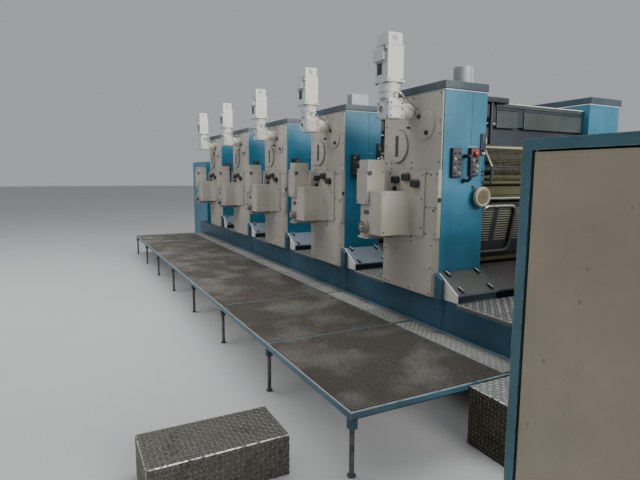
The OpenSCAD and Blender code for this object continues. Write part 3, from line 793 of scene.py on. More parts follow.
# %% Screw tree
def screw_tree():
    grower = Grower("screws", diameter="float", height="float", finish="material")
    radius = grower.given("diameter") * 0.5
    height = grower.given("height")
    body = grower.node("GeometryNodeMeshCylinder", {"fill_type": "NGON"},
        {"Vertices": 9, "Radius": radius, "Depth": height})
    dome = grower.node("GeometryNodeMeshCone", {"fill_type": "NGON"},
        {"Vertices": 9, "Radius Bottom": radius * 0.96, "Radius Top": radius * 0.5, "Depth": height * 0.45})
    lift = grower.node("ShaderNodeCombineXYZ", inputs={"Z": height * 0.5})
    raised = grower.node("GeometryNodeTransform", inputs={0: dome.outputs[0], "Translation": lift.outputs[0]})
    head = grower.node("GeometryNodeJoinGeometry", inputs={0: body.outputs[0]})
    grower.tree.links.new(raised.outputs[0], head.inputs[0])
    facing = grower.node("GeometryNodeInputNamedAttribute", {"data_type": "FLOAT_VECTOR"}, {"Name": "facing"})
    turn = grower.node("FunctionNodeAlignRotationToVector", {"axis": "Z"}, {"Vector": facing.outputs[0]})
    inputs = {"Points": grower.source.outputs[0], "Instance": head.outputs[0], "Rotation": turn.outputs[0]}
    grower.end(grower.node("GeometryNodeInstanceOnPoints", inputs=inputs).outputs[0])
    return grower


screws = screw_tree()
OUT = Vector((0, -1, 0))
NEAR = Vector((1, 0, 0))
UP = Vector((0, 0, 1))


def add_screws(name, spots, diameter, height, finish, body="press"):
    """Screws at (point, direction) spots, all as one piece."""
    carrier = carrier_of([spot[0] for spot in spots], facing=[spot[1] for spot in spots])
    mesh = screws.grow(carrier, diameter=diameter * MM, height=height * MM, finish=finish)
    return as_piece(name, mesh, [], body)


def row(first, last, count):
    """Evenly spaced numbers from first to last."""
    return [first + (last - first) * i / (count - 1) for i in range(count)]


PANEL_SCREWS = [(352, 2090), (32, 2090), (690, 2090), (30, 1896), (30, 1801), (32, 1596), (352, 1596),
    (620, 1596), (687, 1596), (352, 1556), (619, 1556), (700, 1896), (700, 1740)]
BOX_SCREWS = [(172, 1505), (172, 1320), (172, 1100), (590, 1515), (350, 1515), (708, 1515)]
STRIP_SCREWS = [(22, 1512), (128, 1512), (22, 1262), (132, 1262), (22, 1060), (132, 1060)]
TRAY_SCREWS = [(303, 1015), (303, 983), (590, 978), (60, 976), (660, 881), (64, 800), (650, 606),
    (590, 606), (318, 605), (70, 606)]
drive_spots = []
for unit in unit_numbers:
    for places, out in ((PANEL_SCREWS, 12), (BOX_SCREWS, 45), (STRIP_SCREWS, 33), (TRAY_SCREWS, 34)):
        drive_spots += [(at(back, out + 1, height, unit), OUT) for back, height in places]
add_screws("panel_screws", drive_spots, 13, 6, screw_steel)
operator_spots = [(Vector((point.x, -point.y, point.z)), -OUT) for point, _ in drive_spots]
add_screws("operator_screws", operator_spots, 13, 6, screw_steel)
print("screws on the covers:", len(drive_spots) + len(operator_spots))

# %% [markdown]
# ## Gratings and wire meshes
# A walkway grating is upright flat bars across the walkway, with thin rods pressed into their tops.
# The guards above the rollers are a finer mesh of the same kind, so one tree makes both:
# two lines of points, a long box on each, and a turn that lays the whole panel where it belongs.

# %% Crossed bar tree
def bar_tree():
    grower = Grower("crossed_bars", length="float", width="float", bars="int", rods="int",
        bar_t="float", bar_h="float", rod_t="float", rod_h="float", lift="float", finish="material")
    facts = {title: grower.given(title) for title in grower.inputs if title != "finish"}

    def line(count, reach, direction, lift):
        """Points across the panel, from half a bar inside one edge to half a bar inside the other."""
        start = grower.node("ShaderNodeCombineXYZ", inputs={direction: reach * -0.5, "Z": lift})
        end = grower.node("ShaderNodeCombineXYZ", inputs={direction: reach * 0.5, "Z": lift})
        inputs = {"Count": count, "Start Location": start.outputs[0], "Offset": end.outputs[0]}
        return grower.node("GeometryNodeMeshLine", {"mode": "END_POINTS"}, inputs).outputs[0]

    def boxes(points, x, y, z):
        size = grower.node("ShaderNodeCombineXYZ", inputs={"X": x, "Y": y, "Z": z})
        box = grower.node("GeometryNodeMeshCube", inputs={"Size": size.outputs[0]}).outputs[0]
        inputs = {"Points": points, "Instance": box}
        return grower.node("GeometryNodeInstanceOnPoints", inputs=inputs).outputs[0]

    long_bars = boxes(line(facts["bars"], facts["width"] - facts["bar_t"], "Y", 0.0),
        facts["length"], facts["bar_t"], facts["bar_h"])
    rods = boxes(line(facts["rods"], facts["length"] - facts["rod_t"], "X", facts["lift"]),
        facts["rod_t"], facts["width"], facts["rod_h"])
    panel = grower.node("GeometryNodeJoinGeometry", inputs={0: long_bars})
    grower.tree.links.new(rods, panel.inputs[0])
    real = grower.node("GeometryNodeRealizeInstances", inputs={0: panel.outputs[0]})
    turned = grower.node("GeometryNodeInputNamedAttribute", {"data_type": "FLOAT_VECTOR"}, {"Name": "turned"})
    inputs = {"Points": grower.source.outputs[0], "Instance": real.outputs[0], "Rotation": turned.outputs[0]}
    grower.end(grower.node("GeometryNodeInstanceOnPoints", inputs=inputs).outputs[0])
    return grower


crossed_bars = bar_tree()

# %% [markdown]
# ## Walkway
# The frame is welded from angle steel: an upright flange all round, and a thin ledge that carries
# loose grating panels. The panels are sized from the frame, so a longer walkway gets longer ones.
# Feet polish the top edges, so this paint is given more wear than the housings.

# %% Walkway frame and gratings
WALK_BACK = (-870, 6960)
WALK_OUT = (2, 1280)
WALK_HEIGHT = (310, 350)
PANELS = 7
FLANGE = 6
LEDGE = 30
PLATE_EDGE = 226
BAR_PITCH = 22
ROD_PITCH = 11
BAR_DEPTH = 33
ROD_DEPTH = 5
panel_len = (WALK_BACK[1] - WALK_BACK[0]) / PANELS
boundaries = [WALK_BACK[0] + panel * panel_len for panel in range(PANELS + 1)]
ledge_height = (WALK_HEIGHT[0], WALK_HEIGHT[0] + FLANGE)
grating_out = (PLATE_EDGE + FLANGE, WALK_OUT[1] - FLANGE - 2)

walkway = Shape()
walkway.block(WALK_BACK, (WALK_OUT[1] - FLANGE, WALK_OUT[1]), WALK_HEIGHT, edge=1)
walkway.block(WALK_BACK, (WALK_OUT[1] - LEDGE - FLANGE, WALK_OUT[1] - FLANGE), ledge_height, edge=0.5)
walkway.block(WALK_BACK, (WALK_OUT[0], WALK_OUT[0] + LEDGE), WALK_HEIGHT, edge=2)
walkway.block(WALK_BACK, (PLATE_EDGE, PLATE_EDGE + FLANGE), (ledge_height[1], WALK_HEIGHT[1]), edge=1)
for i, back in enumerate(boundaries):
    left = FLANGE if i == PANELS else FLANGE - 1 if i else 0
    right = FLANGE if i == 0 else FLANGE - 1 if i < PANELS else 0
    crossing = (WALK_OUT[0] + LEDGE, WALK_OUT[1] - FLANGE)
    walkway.block((back - left, back + right), crossing, WALK_HEIGHT, edge=1)
    walkway.block((back - LEDGE * (i > 0), back + LEDGE * (i < PANELS)),
        (WALK_OUT[0] + LEDGE, WALK_OUT[1] - FLANGE), ledge_height, edge=0.5)
walkway.twin()
walkway.piece("walkway_angles", [walkway_blue], slot="press_blue", stands_for=["walkway_frame"])

panel_centres = []
for back in boundaries[:-1]:
    centre = at(back + panel_len / 2, sum(grating_out) / 2, WALK_HEIGHT[1] - 1 - BAR_DEPTH / 2)
    panel_centres += [centre, Vector((centre.x, -centre.y, centre.z))]
across = (grating_out[1] - grating_out[0]) * MM
along = (panel_len - 2 * FLANGE) * MM
quarter_turn = (0, 0, math.pi / 2)
grating = crossed_bars.grow(carrier_of(panel_centres, turned=[quarter_turn] * len(panel_centres)),
    length=across, width=along, bars=int(along / MM / BAR_PITCH), rods=int(across / MM / ROD_PITCH),
    bar_t=3 * MM, bar_h=BAR_DEPTH * MM, rod_t=3 * MM, rod_h=ROD_DEPTH * MM,
    lift=(BAR_DEPTH - ROD_DEPTH) / 2 * MM, finish=grating_steel)
as_piece("walkway_gratings", grating, [], stands_for=["walkway_grating"])
print("grating panels:", len(panel_centres), "polygons:", len(grating.polygons))

# %% [markdown]
# ## Mesh guards
# A wire guard stops hands above the rollers: thin olive wires in a flat frame, leaning out
# and then hanging straight down. Each part is one crossed panel, turned by its own lean.

# %% Mesh guards
GUARD_LINE = [(16, 1704), (-66, 1568), (-66, 1440)]
GUARD_MESH = 13
inner_width = press_width - 2 * housing_depth
middle_out = -press_width / 2


def mesh_panel(top, foot):
    """Wires between two (back, height) lines of the guard, on every unit."""
    lean = math.atan2(top[0] - foot[0], top[1] - foot[1])
    height = math.dist(top, foot)
    places = [at((top[0] + foot[0]) / 2, middle_out, (top[1] + foot[1]) / 2, unit) for unit in unit_numbers]
    carrier = carrier_of(places, turned=[(0, math.pi * 1.5 - lean, 0)] * len(places))
    return crossed_bars.grow(carrier, length=height * MM, width=inner_width * MM,
        bars=int(inner_width / GUARD_MESH / 2), rods=int(height / GUARD_MESH), bar_t=2 * MM, bar_h=2 * MM,
        rod_t=3 * MM, rod_h=3 * MM, lift=0.0, finish=guard_olive)


GUARD_EDGE = 14
EDGE_DEPTH = 12
mesh_frame = Shape()
for unit in unit_numbers:
    for edge_out in (-housing_depth - GUARD_EDGE, -housing_depth - inner_width + 1):
        for (top, foot), finish in zip(zip(GUARD_LINE, GUARD_LINE[1:]), (1, 2)):
            corners = [at(back + shift, edge_out, height, unit) for (back, height), shift in (
                (top, -EDGE_DEPTH / 2), (top, EDGE_DEPTH / 2),
                (foot, EDGE_DEPTH / 2), (foot, -EDGE_DEPTH / 2))]
            mesh_frame.slab(corners, Vector((0, -(GUARD_EDGE - 1) * MM, 0)), finish=finish)
    for (back, height), drop in zip(GUARD_LINE, (-8, 4, 8)):
        mesh_frame.block((back - 4, back + 4), (-housing_depth - 2, -housing_depth - inner_width + 2),
            sorted((height, height + drop)), unit)
for top, foot in zip(GUARD_LINE, GUARD_LINE[1:]):
    mesh_frame.add(mesh_panel(top, foot))
mesh_frame.piece("mesh_guards_wired", [guard_olive, trim_cream, guard_dark], slot="guard_olive",
    stands_for=["mesh_guards"])
wires = bpy.data.objects["mesh_guards_wired"].data
print("guard mesh polygons:", len(wires.polygons))

# %% [markdown]
# ## Slotted lower guards
# The plate below the rollers has long slots in six columns, and two bent tubes to lift it by.
# A flat grid with the slot cells left out becomes the plate when it is given its thickness,
# which keeps one closed shell. The tubes are circles swept along a rounded rectangle.

# %% Tube tree: a round section along a path
def tube_tree():
    grower = Grower("swept_tube", diameter="float", sides="int", finish="material")
    path = grower.node("GeometryNodeMeshToCurve", inputs={0: grower.source.outputs[0]})
    section = grower.node("GeometryNodeCurvePrimitiveCircle", inputs={"Resolution": grower.given("sides"),
        "Radius": grower.given("diameter") * 0.5})
    inputs = {"Curve": path.outputs[0], "Profile Curve": section.outputs[0], "Fill Caps": True}
    tube = grower.node("GeometryNodeCurveToMesh", inputs=inputs)
    grower.end(tube.outputs[0])
    return grower


swept_tube = tube_tree()


def tube(points, diameter, finish, closed=False, sides=10):
    """A tube mesh along points, with its ends closed."""
    edges = [(i, i + 1) for i in range(len(points) - 1)]
    if closed:
        edges.append((len(points) - 1, 0))
    return swept_tube.grow(carrier_of(points, edges), diameter=diameter * MM, sides=sides, finish=finish)


# %% Slotted plates with their lifting tubes
ROD = (47, 1280)
PLATE_FOOT = (125, 870)
PLATE_THICK = 14
PLATE_GAP = 20
SLOT_ROWS = 14
SLOT_PITCH = 20
SLOT_HEIGHT = 9
SLOT_COLUMNS = 6
FIRST_SLOT = 40
COLUMN_EDGE = 0.12
TUBE_WIDTH = 365
TUBE_HEIGHT = 380
TUBE_CORNER = 60
TUBE_SIDE = 22
TUBE_FOOT = 20
TUBE_D = 26
LINER_DEPTH = -4.5
LINER_FOOT = 330
plate_width = inner_width - 2 * PLATE_GAP
plate_height = math.hypot(PLATE_FOOT[0] - ROD[0], ROD[1] - PLATE_FOOT[1])
plate_lean = math.atan2(PLATE_FOOT[0] - ROD[0], ROD[1] - PLATE_FOOT[1])


def on_plate(across, down, proud, unit):
    """A point on a lower guard: across from its drive side edge, down from its rod, proud of its face."""
    back = ROD[0] + down * math.sin(plate_lean) - proud * math.cos(plate_lean)
    height = ROD[1] - down * math.cos(plate_lean) - proud * math.sin(plate_lean)
    return at(back, -housing_depth - PLATE_GAP - across, height, unit)


def slotted_plate(unit):
    """The plate as a grid of cells without its slots, in the middle plane of its thickness."""
    column = plate_width / SLOT_COLUMNS
    columns = [0]
    for c in range(SLOT_COLUMNS):
        columns += [column * (c + COLUMN_EDGE), column * (c + 1 - COLUMN_EDGE)]
    columns.append(plate_width)
    rows = [0]
    for r in range(SLOT_ROWS):
        rows += [FIRST_SLOT + r * SLOT_PITCH, FIRST_SLOT + r * SLOT_PITCH + SLOT_HEIGHT]
    rows.append(plate_height)
    work = bmesh.new()
    grid = [[work.verts.new(on_plate(a, d, 0, unit)) for a in columns] for d in rows]
    for r in range(len(rows) - 1):
        for c in range(len(columns) - 1):
            if r % 2 == 1 and c % 2 == 1:
                continue
            work.faces.new((grid[r][c], grid[r][c + 1], grid[r + 1][c + 1], grid[r + 1][c]))
    mesh = bpy.data.meshes.new("plate")
    work.to_mesh(mesh)
    work.free()
    obj = bpy.data.objects.new("plate", mesh)
    bpy.context.scene.collection.objects.link(obj)
    solid = obj.modifiers.new("thickness", "SOLIDIFY")
    solid.thickness = 3 * MM
    solid.offset = 0
    bake_modifiers(obj)
    mesh = obj.data
    bpy.data.objects.remove(obj)
    return mesh


def rounded_rectangle(side, unit):
    """The path of a bent tube on the plate's near face, with an arc at each corner."""
    proud = PLATE_THICK / 2 + TUBE_D / 2 - 2
    low = plate_height - TUBE_FOOT - TUBE_HEIGHT
    centres = [(side + TUBE_WIDTH - TUBE_CORNER, low + TUBE_CORNER, -90),
        (side + TUBE_WIDTH - TUBE_CORNER, low + TUBE_HEIGHT - TUBE_CORNER, 0),
        (side + TUBE_CORNER, low + TUBE_HEIGHT - TUBE_CORNER, 90),
        (side + TUBE_CORNER, low + TUBE_CORNER, 180)]
    points = []
    for across, down, first in centres:
        for angle in row(first, first + 90, 7):
            reach = math.radians(angle)
            points.append(on_plate(across + TUBE_CORNER * math.cos(reach),
                down + TUBE_CORNER * math.sin(reach), proud, unit))
    return points


def lower_guard(unit):
    """One guard: plate, folded edges, rod and tubes, in dark paint, tube steel with a painted highlight above
    a height, and a pale liner that stands in for light seen through the slots.
    """
    shape = Shape()
    shape.add(slotted_plate(unit))
    # Painted light: a pale liner just behind the slots stands in for the light seen through them.
    liner = [on_plate(a, d, LINER_DEPTH, unit) for a, d in ((12, 14), (plate_width - 12, 14),
        (plate_width - 12, LINER_FOOT), (12, LINER_FOOT))]
    shape.slab(liner, on_plate(0, 0, -1.5, unit) - on_plate(0, 0, 0, unit), finish=2)
    for across in (5, plate_width - 5):
        rib_ends = [on_plate(across, up, 0, unit) for up in (6, plate_height - 2)]
        shape.rod(*rib_ends, PLATE_THICK, sides=8)
    for down in (4, plate_height - 5):
        shape.rod(on_plate(3, down, 0, unit), on_plate(plate_width - 3, down, 0, unit), PLATE_THICK, sides=8)
    rod_outs = (-housing_depth + 11, -housing_depth - inner_width - 11)
    rod_ends = [at(ROD[0], out, ROD[1], unit) for out in rod_outs]
    shape.rod(*rod_ends, 16, edge=1)
    for side in (TUBE_SIDE, plate_width - TUBE_SIDE - TUBE_WIDTH):
        shape.add(tube(rounded_rectangle(side, unit), TUBE_D, zinc_steel, closed=True), finish=1)
    return shape


GUARD_FINISHES = [guard_dark, tube_painted_highlight, liner_painted_light]
lower_guard(1).piece("near_lower_guard_slotted", GUARD_FINISHES, body="guard", slot="guard_dark",
    stands_for=["near_lower_guard"])
others = Shape()
for unit in unit_numbers[1:]:
    one = lower_guard(unit)
    mesh = bpy.data.meshes.new("one")
    one.mesh.to_mesh(mesh)
    one.mesh.free()
    others.mesh.from_mesh(mesh)
others.piece("lower_guards_slotted", GUARD_FINISHES, slot="guard_dark", stands_for=["lower_guards"])
print("slots a plate:", SLOT_ROWS * SLOT_COLUMNS)

# %% [markdown]
# ## Chequer plate
# Treads, steps and the walkway's inner strip are rolled plate with raised lozenges, which lie in
# two directions by turns so that a boot grips either way. One lozenge is a flat eight-sided
# shape with a raised middle. A grid of points gets one each, turned by its place in the row.

# %% Chequer tree
def lozenge(length, width, height):
    """One raised lozenge: eight points on the plate and two on its ridge."""
    half, wide = length / 2, width / 2
    rim = [(-half, 0), (-half * 0.6, -wide * 0.8), (0, -wide), (half * 0.6, -wide * 0.8),
        (half, 0), (half * 0.6, wide * 0.8), (0, wide), (-half * 0.6, wide * 0.8)]
    verts = [(x, y, -height * 0.3) for x, y in rim] + [(-half * 0.55, 0, height), (half * 0.55, 0, height)]
    faces = [(0, 1, 8), (1, 2, 8), (2, 9, 8), (2, 3, 9), (3, 4, 9), (4, 5, 9), (5, 6, 9), (6, 8, 9),
        (6, 7, 8), (7, 0, 8), (7, 6, 5, 4, 3, 2, 1, 0)]
    mesh = bpy.data.meshes.new("lozenge")
    mesh.from_pydata(verts, [], faces)
    shape = bpy.data.objects.new("lozenge", mesh)
    return shape


def chequer_tree(shape):
    grower = Grower("chequer", length="float", width="float", along="int", across="int", finish="material")
    inputs = {"Size X": grower.given("length"), "Size Y": grower.given("width"),
        "Vertices X": grower.given("along"), "Vertices Y": grower.given("across")}
    grid = grower.node("GeometryNodeMeshGrid", inputs=inputs).outputs[0]
    number = Value(grower.node("GeometryNodeInputIndex").outputs[0])
    column = number.math("FLOOR", (number + 0.5) / grower.given("across"))
    order = number.math("MODULO", number - column * grower.given("across") + column, 2.0)
    angle = (order * 2 - 1) * math.radians(45)
    turn = grower.node("ShaderNodeCombineXYZ", inputs={"Z": angle})
    one = grower.node("GeometryNodeObjectInfo", inputs={"Object": shape}).outputs["Geometry"]
    inputs = {"Points": grid, "Instance": one, "Rotation": turn.outputs[0]}
    field = grower.node("GeometryNodeInstanceOnPoints", inputs=inputs).outputs[0]
    real = grower.node("GeometryNodeRealizeInstances", inputs={0: field}).outputs[0]
    turned = grower.node("GeometryNodeInputNamedAttribute", {"data_type": "FLOAT_VECTOR"}, {"Name": "turned"})
    inputs = {"Points": grower.source.outputs[0], "Instance": real, "Rotation": turned.outputs[0]}
    grower.end(grower.node("GeometryNodeInstanceOnPoints", inputs=inputs).outputs[0])
    return grower


FINE = (25, chequer_tree(lozenge(0.027, 0.0065, 0.0016)))
COARSE = (34, chequer_tree(lozenge(0.030, 0.0105, 0.0018)))


def chequer_field(centres, turned, length, width, finish=tread_ridge, pattern=FINE):
    """Lozenges over equal rectangles, each given by its centre. Lengths are in millimetres."""
    pitch, tree = pattern
    along = max(2, round((length - 30) / pitch) + 1)
    across = max(2, round((width - 30) / pitch) + 1)
    return tree.grow(carrier_of(centres, turned=[turned] * len(centres)), length=(length - 32) * MM,
        width=(width - 32) * MM, along=along, across=across, finish=finish)


# %% Chequer fields on treads, steps and the walkway's strip
FLAT = (0, 0, 0)
ON_OUT = (math.pi / 2, 0, 0)
ON_IN = (-math.pi / 2, 0, 0)
ON_NEAR = (math.pi / 2, 0, math.pi / 2)


def middle(low, high):
    return (low + high) / 2


def both_sides(points):
    """The points and their twins on the operator side."""
    return list(points) + [Vector((point.x, -point.y, point.z)) for point in points]


tread_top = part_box("treads")[1].z
TREAD_MIDDLE = -442.5
TREAD_LENGTH = 485
NEAR_TREAD_MIDDLE = -460
NEAR_TREAD_LENGTH = 520
tread_centres = [Vector((at(TREAD_MIDDLE, 0, 0, unit).x, 0, tread_top)) for unit in unit_numbers[1:]]
near_centre = Vector((at(NEAR_TREAD_MIDDLE, 0, 0).x, 0, tread_top))
tread_fields = [chequer_field(tread_centres, FLAT, TREAD_LENGTH, press_width, pattern=COARSE),
    chequer_field([near_centre], FLAT, NEAR_TREAD_LENGTH,
    press_width, pattern=COARSE)]
as_piece("tread_lozenges", joined(tread_fields), [])
strip_width = 198
strip_out = WALK_OUT[0] + LEDGE + strip_width / 2
strip_centres = [at(back + panel_len / 2, strip_out, WALK_HEIGHT[1]) for back in boundaries[:-1]]
strip = chequer_field(both_sides(strip_centres), FLAT, panel_len - LEDGE, strip_width, strip_ridge)
as_piece("strip_lozenges", strip, [])


def chequered_box(back, out, height, finish):
    """Fields on the top, the two long sides and the near side of a step box on each side of the press."""
    low, high = at(back[1], out[0], height[0]), at(back[0], out[1], height[1])
    centre = middle(low, high)
    length, width, tall = (abs(part) / MM for part in high - low)
    fields = [(both_sides([Vector((centre.x, centre.y, high.z))]), FLAT, length, width),
        ([Vector((centre.x, high.y, centre.z)), Vector((centre.x, -low.y, centre.z))], ON_OUT, length, tall),
        ([Vector((centre.x, -high.y, centre.z)), Vector((centre.x, low.y, centre.z))], ON_IN, length, tall),
        (both_sides([Vector((high.x, centre.y, centre.z))]), ON_NEAR, width, tall)]
    return [chequer_field(*field, finish=finish) for field in fields]


steps = chequered_box((-692, -345), (1525, 2215), (0, 212), step_ridge)
as_piece("step_box_lozenges", joined(steps), [])
end_steps = [field for back, height in (((-1160, -874), 338), ((-1410, -1160), 169))
    for field in chequered_box(back, (4, 515), (0, height), end_step_ridge_lit_top)]
as_piece("end_step_lozenges", joined(end_steps), [])

# %% [markdown]
# ## Bends and knobs
# Handles and pipes are straight tube with a round bend at each corner, so their path is a few
# corner points and one bending radius. Knobs, plugs and lamps are small turned parts: one
# profile each, swung about its axis, at the true places of the real ones.

# %% Bent paths and turned profiles
def bent_path(points, radius, steps=6):
    """Straight runs between points, with a round bend of one radius at each inner point."""
    path = [points[0]]
    for before, corner, after in zip(points, points[1:], points[2:]):
        back_way, on_way = (before - corner).normalized(), (after - corner).normalized()
        cut = radius * MM / math.tan(back_way.angle(on_way) / 2)
        start, end = corner + back_way * cut, corner + on_way * cut
        for i in range(steps + 1):
            t = i / steps
            path.append(start * (1 - t) ** 2 + corner * (2 * t * (1 - t)) + end * t ** 2)
    return path + [points[-1]]


def button(d, tall, edge=2):
    """The profile of a flat knob with a rounded rim."""
    r = d / 2
    return [(0, 0), (0, r), (tall - edge, r), (tall - edge * 0.3, r - edge * 0.3),
        (tall, r - edge), (tall, 0)]


def collared(d, tall):
    """The profile of a knob that stands on a wider collar."""
    return [(0, 0), (0, d * 0.62), (tall * 0.25, d * 0.6), (tall * 0.3, d * 0.5), (tall * 0.9, d * 0.46),
        (tall, d * 0.36), (tall, 0)]


print("knob profile points:", len(button(20, 10)), len(collared(20, 10)))

# %% [markdown]
# ## Handwheel
# The wheel that turns the cylinder by hand is a dished plastic casting with a tan cover disc.
# Its profile is turned about the spindle, and all of it rides on the wheel's own body.

# %% Handwheel
WHEEL_OUT = -352
WHEEL_HEIGHT = 1338
RIM_PROFILE = [(0, 0), (0, 24), (16, 24), (19, 58), (22, 70), (29, 76), (38, 77), (49, 76.5), (55, 73),
    (58, 68), (57.5, 62), (54, 59), (50, 56), (50, 0)]
DISC_PROFILE = [(0, 0), (0, 52), (2.5, 52), (4, 50), (3, 30), (3, 0)]
handwheel = Shape()
handwheel.turned(at(-6, WHEEL_OUT, WHEEL_HEIGHT), NEAR, RIM_PROFILE, sides=56)
handwheel.turned(at(-56, WHEEL_OUT, WHEEL_HEIGHT), NEAR, DISC_PROFILE, finish=1, sides=48)
handwheel.turned(at(-59, WHEEL_OUT, WHEEL_HEIGHT), NEAR, button(16, 3, 1), finish=2)
handwheel.rod(at(-7, WHEEL_OUT, WHEEL_HEIGHT), at(40, WHEEL_OUT, WHEEL_HEIGHT), 24, edge=1, finish=2)
handwheel.piece("handwheel_turned", [wheel_cream, tan_disc, screw_steel], body="wheel",
    slot="cream_plastic", stands_for=["handwheel"])

# %% [markdown]
# ## Near face of each unit
# Operators work from the end of a unit: a dark strip of buttons, a bow handle, a stop button
# on the first unit, and small knobs and dowels along the inner corner.
# Buttons here carry no signs. Their caps differ only in colour.

# %% Grab handle
HANDLE_OUT = -200
HANDLE_REACH = -74
HANDLE_HEIGHT = (1461, 1641)
handle = Shape()
handle_corners = [at(4, HANDLE_OUT, HANDLE_HEIGHT[1]), at(HANDLE_REACH, HANDLE_OUT, HANDLE_HEIGHT[1]),
    at(HANDLE_REACH, HANDLE_OUT, HANDLE_HEIGHT[0]), at(4, HANDLE_OUT, HANDLE_HEIGHT[0])]
handle.add(tube(bent_path(handle_corners, 36), 26, black_plastic, sides=14))
for height in HANDLE_HEIGHT:
    handle.turned(at(1, HANDLE_OUT, height), NEAR, button(36, 9), sides=20)
handle.piece("grab_handle_bent", [black_plastic], slot="black_plastic", stands_for=["grab_handle"])

# %% Button strips and the stop button
STRIP_OUTS = (-130, -88)
STRIP_HEIGHTS = (1516, 1550, 1584, 1618, 1662)
CAPS = [0, 1, 0, 4, 1, 0, 0, 0, 3, 0]
PANEL_OUTS = (-300, -264)
PANEL_HEIGHTS = (1530, 1570, 1610)
STOP_AT = (-284, 1660)
BUTTON_FINISHES = [black_plastic, grey_plastic, dark_grey, cream_plastic, green_plastic, red_plastic]
strips = Shape()
for unit in unit_numbers:
    strips.block((-28, 0), (-152, -66), (1485, 1698), unit, edge=5, segments=3)
    strips.block((-29.5, -27), (-145, -73), (1494, 1689), unit, edge=1, finish=2)
    for i, (out, height) in enumerate((out, height) for height in STRIP_HEIGHTS for out in STRIP_OUTS):
        cap_finish = CAPS[(i + unit) % len(CAPS)]
        strips.turned(at(-29, out, height, unit), NEAR, collared(19, 9), finish=cap_finish, sides=14)
strips.piece("control_strips_fitted", BUTTON_FINISHES, slot="black_plastic", stands_for=["control_strips"])

board = Shape()
board.block((-30, 0), (-324, -240), (1495, 1703), edge=5, segments=3)
board.block((-31.5, -29), (-317, -247), (1503, 1634), edge=1, finish=2)
board.block((-31.5, -29), (-317, -247), (1640, 1696), edge=1, finish=6)
for i, (out, height) in enumerate((out, height) for height in PANEL_HEIGHTS for out in PANEL_OUTS):
    board.turned(at(-31, out, height), NEAR, collared(22, 11), finish=(1, 0, 3, 4, 0, 1)[i], sides=16)
stop_start = at(-31, *STOP_AT)
board.turned(stop_start, NEAR, button(26, 8), finish=0, sides=20)
MUSHROOM = [(0, 0), (0, 15), (5, 22), (10, 23), (15, 19), (18, 10), (19, 0)]
board.turned(stop_start + NEAR * 7 * MM, NEAR, MUSHROOM,
    finish=5, sides=28)
board.piece("button_panel_fitted", BUTTON_FINISHES + [sign_red], slot="black_plastic",
    stands_for=["button_panel"])

# %% Fittings beside the strips
faces = Shape()
for unit in unit_numbers:
    faces.block((-1, 1), (-265.5, -263), (1714, 2104), unit, edge=0, finish=0)
    faces.block((-9, 1), (-408, -355), (1650, 1812), unit, edge=2, finish=0)
    faces.block((-14, -8), (-402, -366), (1738, 1806), unit, edge=2, finish=4)
    faces.block((-24, -8), (-396, -390), (1738, 1780), unit, edge=1, finish=2)
    faces.turned(at(-9, -375, 1690, unit), NEAR, collared(20, 16), finish=1, sides=16)
    faces.turned(at(-9, -378, 1664, unit), NEAR, collared(20, 18), finish=3, sides=16)
    dowels = ((-388, 1530, 14), (-390, 1500, 14), (-395, 1448, 16), (-397, 1422, 16), (-299, 1412, 24))
    for out, height, d in dowels:
        faces.turned(at(1, out, height, unit), NEAR, collared(d, 10), finish=1, sides=14)
    faces.block((-12, 4), (14, 33), (1302, 1334), unit, edge=3, finish=1)
    faces.block((-1, 1), (-328, -236), (1711, 1714.5), unit, edge=0, finish=2)
    faces.block((-42.5, -39.5), (-1, 1), (352, 533), unit, edge=0, finish=0)
faces.piece("near_face_fittings", [inner_blue, black_plastic, bright_tube, trim_white, dark_grey],
    slot="black_plastic")

# %% [markdown]
# ## Drive side covers
# Round plates close the bearing seats, the lower one with a slot to see the gear. Black caps cover
# the clamping screws on the middle box, and a bright conduit runs down from each gearmotor.
# All units are alike, and the operator side repeats them.

# %% Plates, caps and conduits
DISC_AT = (530, 1730)
PLATE_AT = (195, 1872)
covers = Shape()
for unit in unit_numbers:
    covers.turned(at(PLATE_AT[0], 11, PLATE_AT[1], unit), OUT,
        [(0, 0), (0, 109), (2.5, 109), (2.5, 105), (10, 104), (12, 101), (12, 0)], sides=56)
    for back, height, d in ((262, 1940, 34), (170, 1816, 36), (392, 1868, 16)):
        covers.turned(at(back, 12, height, unit), OUT, collared(d, 26), finish=1, sides=18)
    for back, height in ((500, 1462), (364, 1484), (248, 1436)):
        covers.block((back - 44, back + 44), (43, 78), (height - 30, height + 30), unit,
            edge=15, finish=1, segments=4)
    covers.turned(at(518, 44, 1392, unit), OUT, collared(30, 22), finish=1, sides=18)
    covers.turned(at(89, 32, 1505, unit), OUT, button(15, 8), finish=2, sides=12)
    covers.turned(at(46, 32, 1240, unit), OUT, button(15, 8), finish=1, sides=12)
    covers.block((8, 146), (32.5, 33.4), (1258, 1261), unit, edge=0, finish=3)
    covers.block((150, 728), (44, 46.5), (1533, 1541), unit, edge=1, finish=0)
covers.twin()
for unit in unit_numbers:
    # Painted shadow: a dark ring round the foot of the raised disc stands in for its edge shadow.
    covers.ring(at(DISC_AT[0], 12, DISC_AT[1], unit), OUT, 260, 5, finish=3, sides=48, wire_sides=6)
    covers.block((DISC_AT[0] - 21, DISC_AT[0] + 21), (20, 21.8), (1648, 1812), unit, edge=0, finish=4)
    points = [at(356, 213, 2108, unit), at(262, 213, 2112, unit), at(292, 8, 1985, unit)]
    covers.add(tube(bent_path(points, 26), 15, pipe_steel, sides=10), finish=5)
    covers.turned(at(292, 11, 1985, unit), OUT, button(30, 14), finish=5, sides=16)
covers.piece("cover_fittings", [panel_beige, black_plastic, red_plastic, inner_blue, dark_grey, pipe_steel],
    slot="panel_beige")

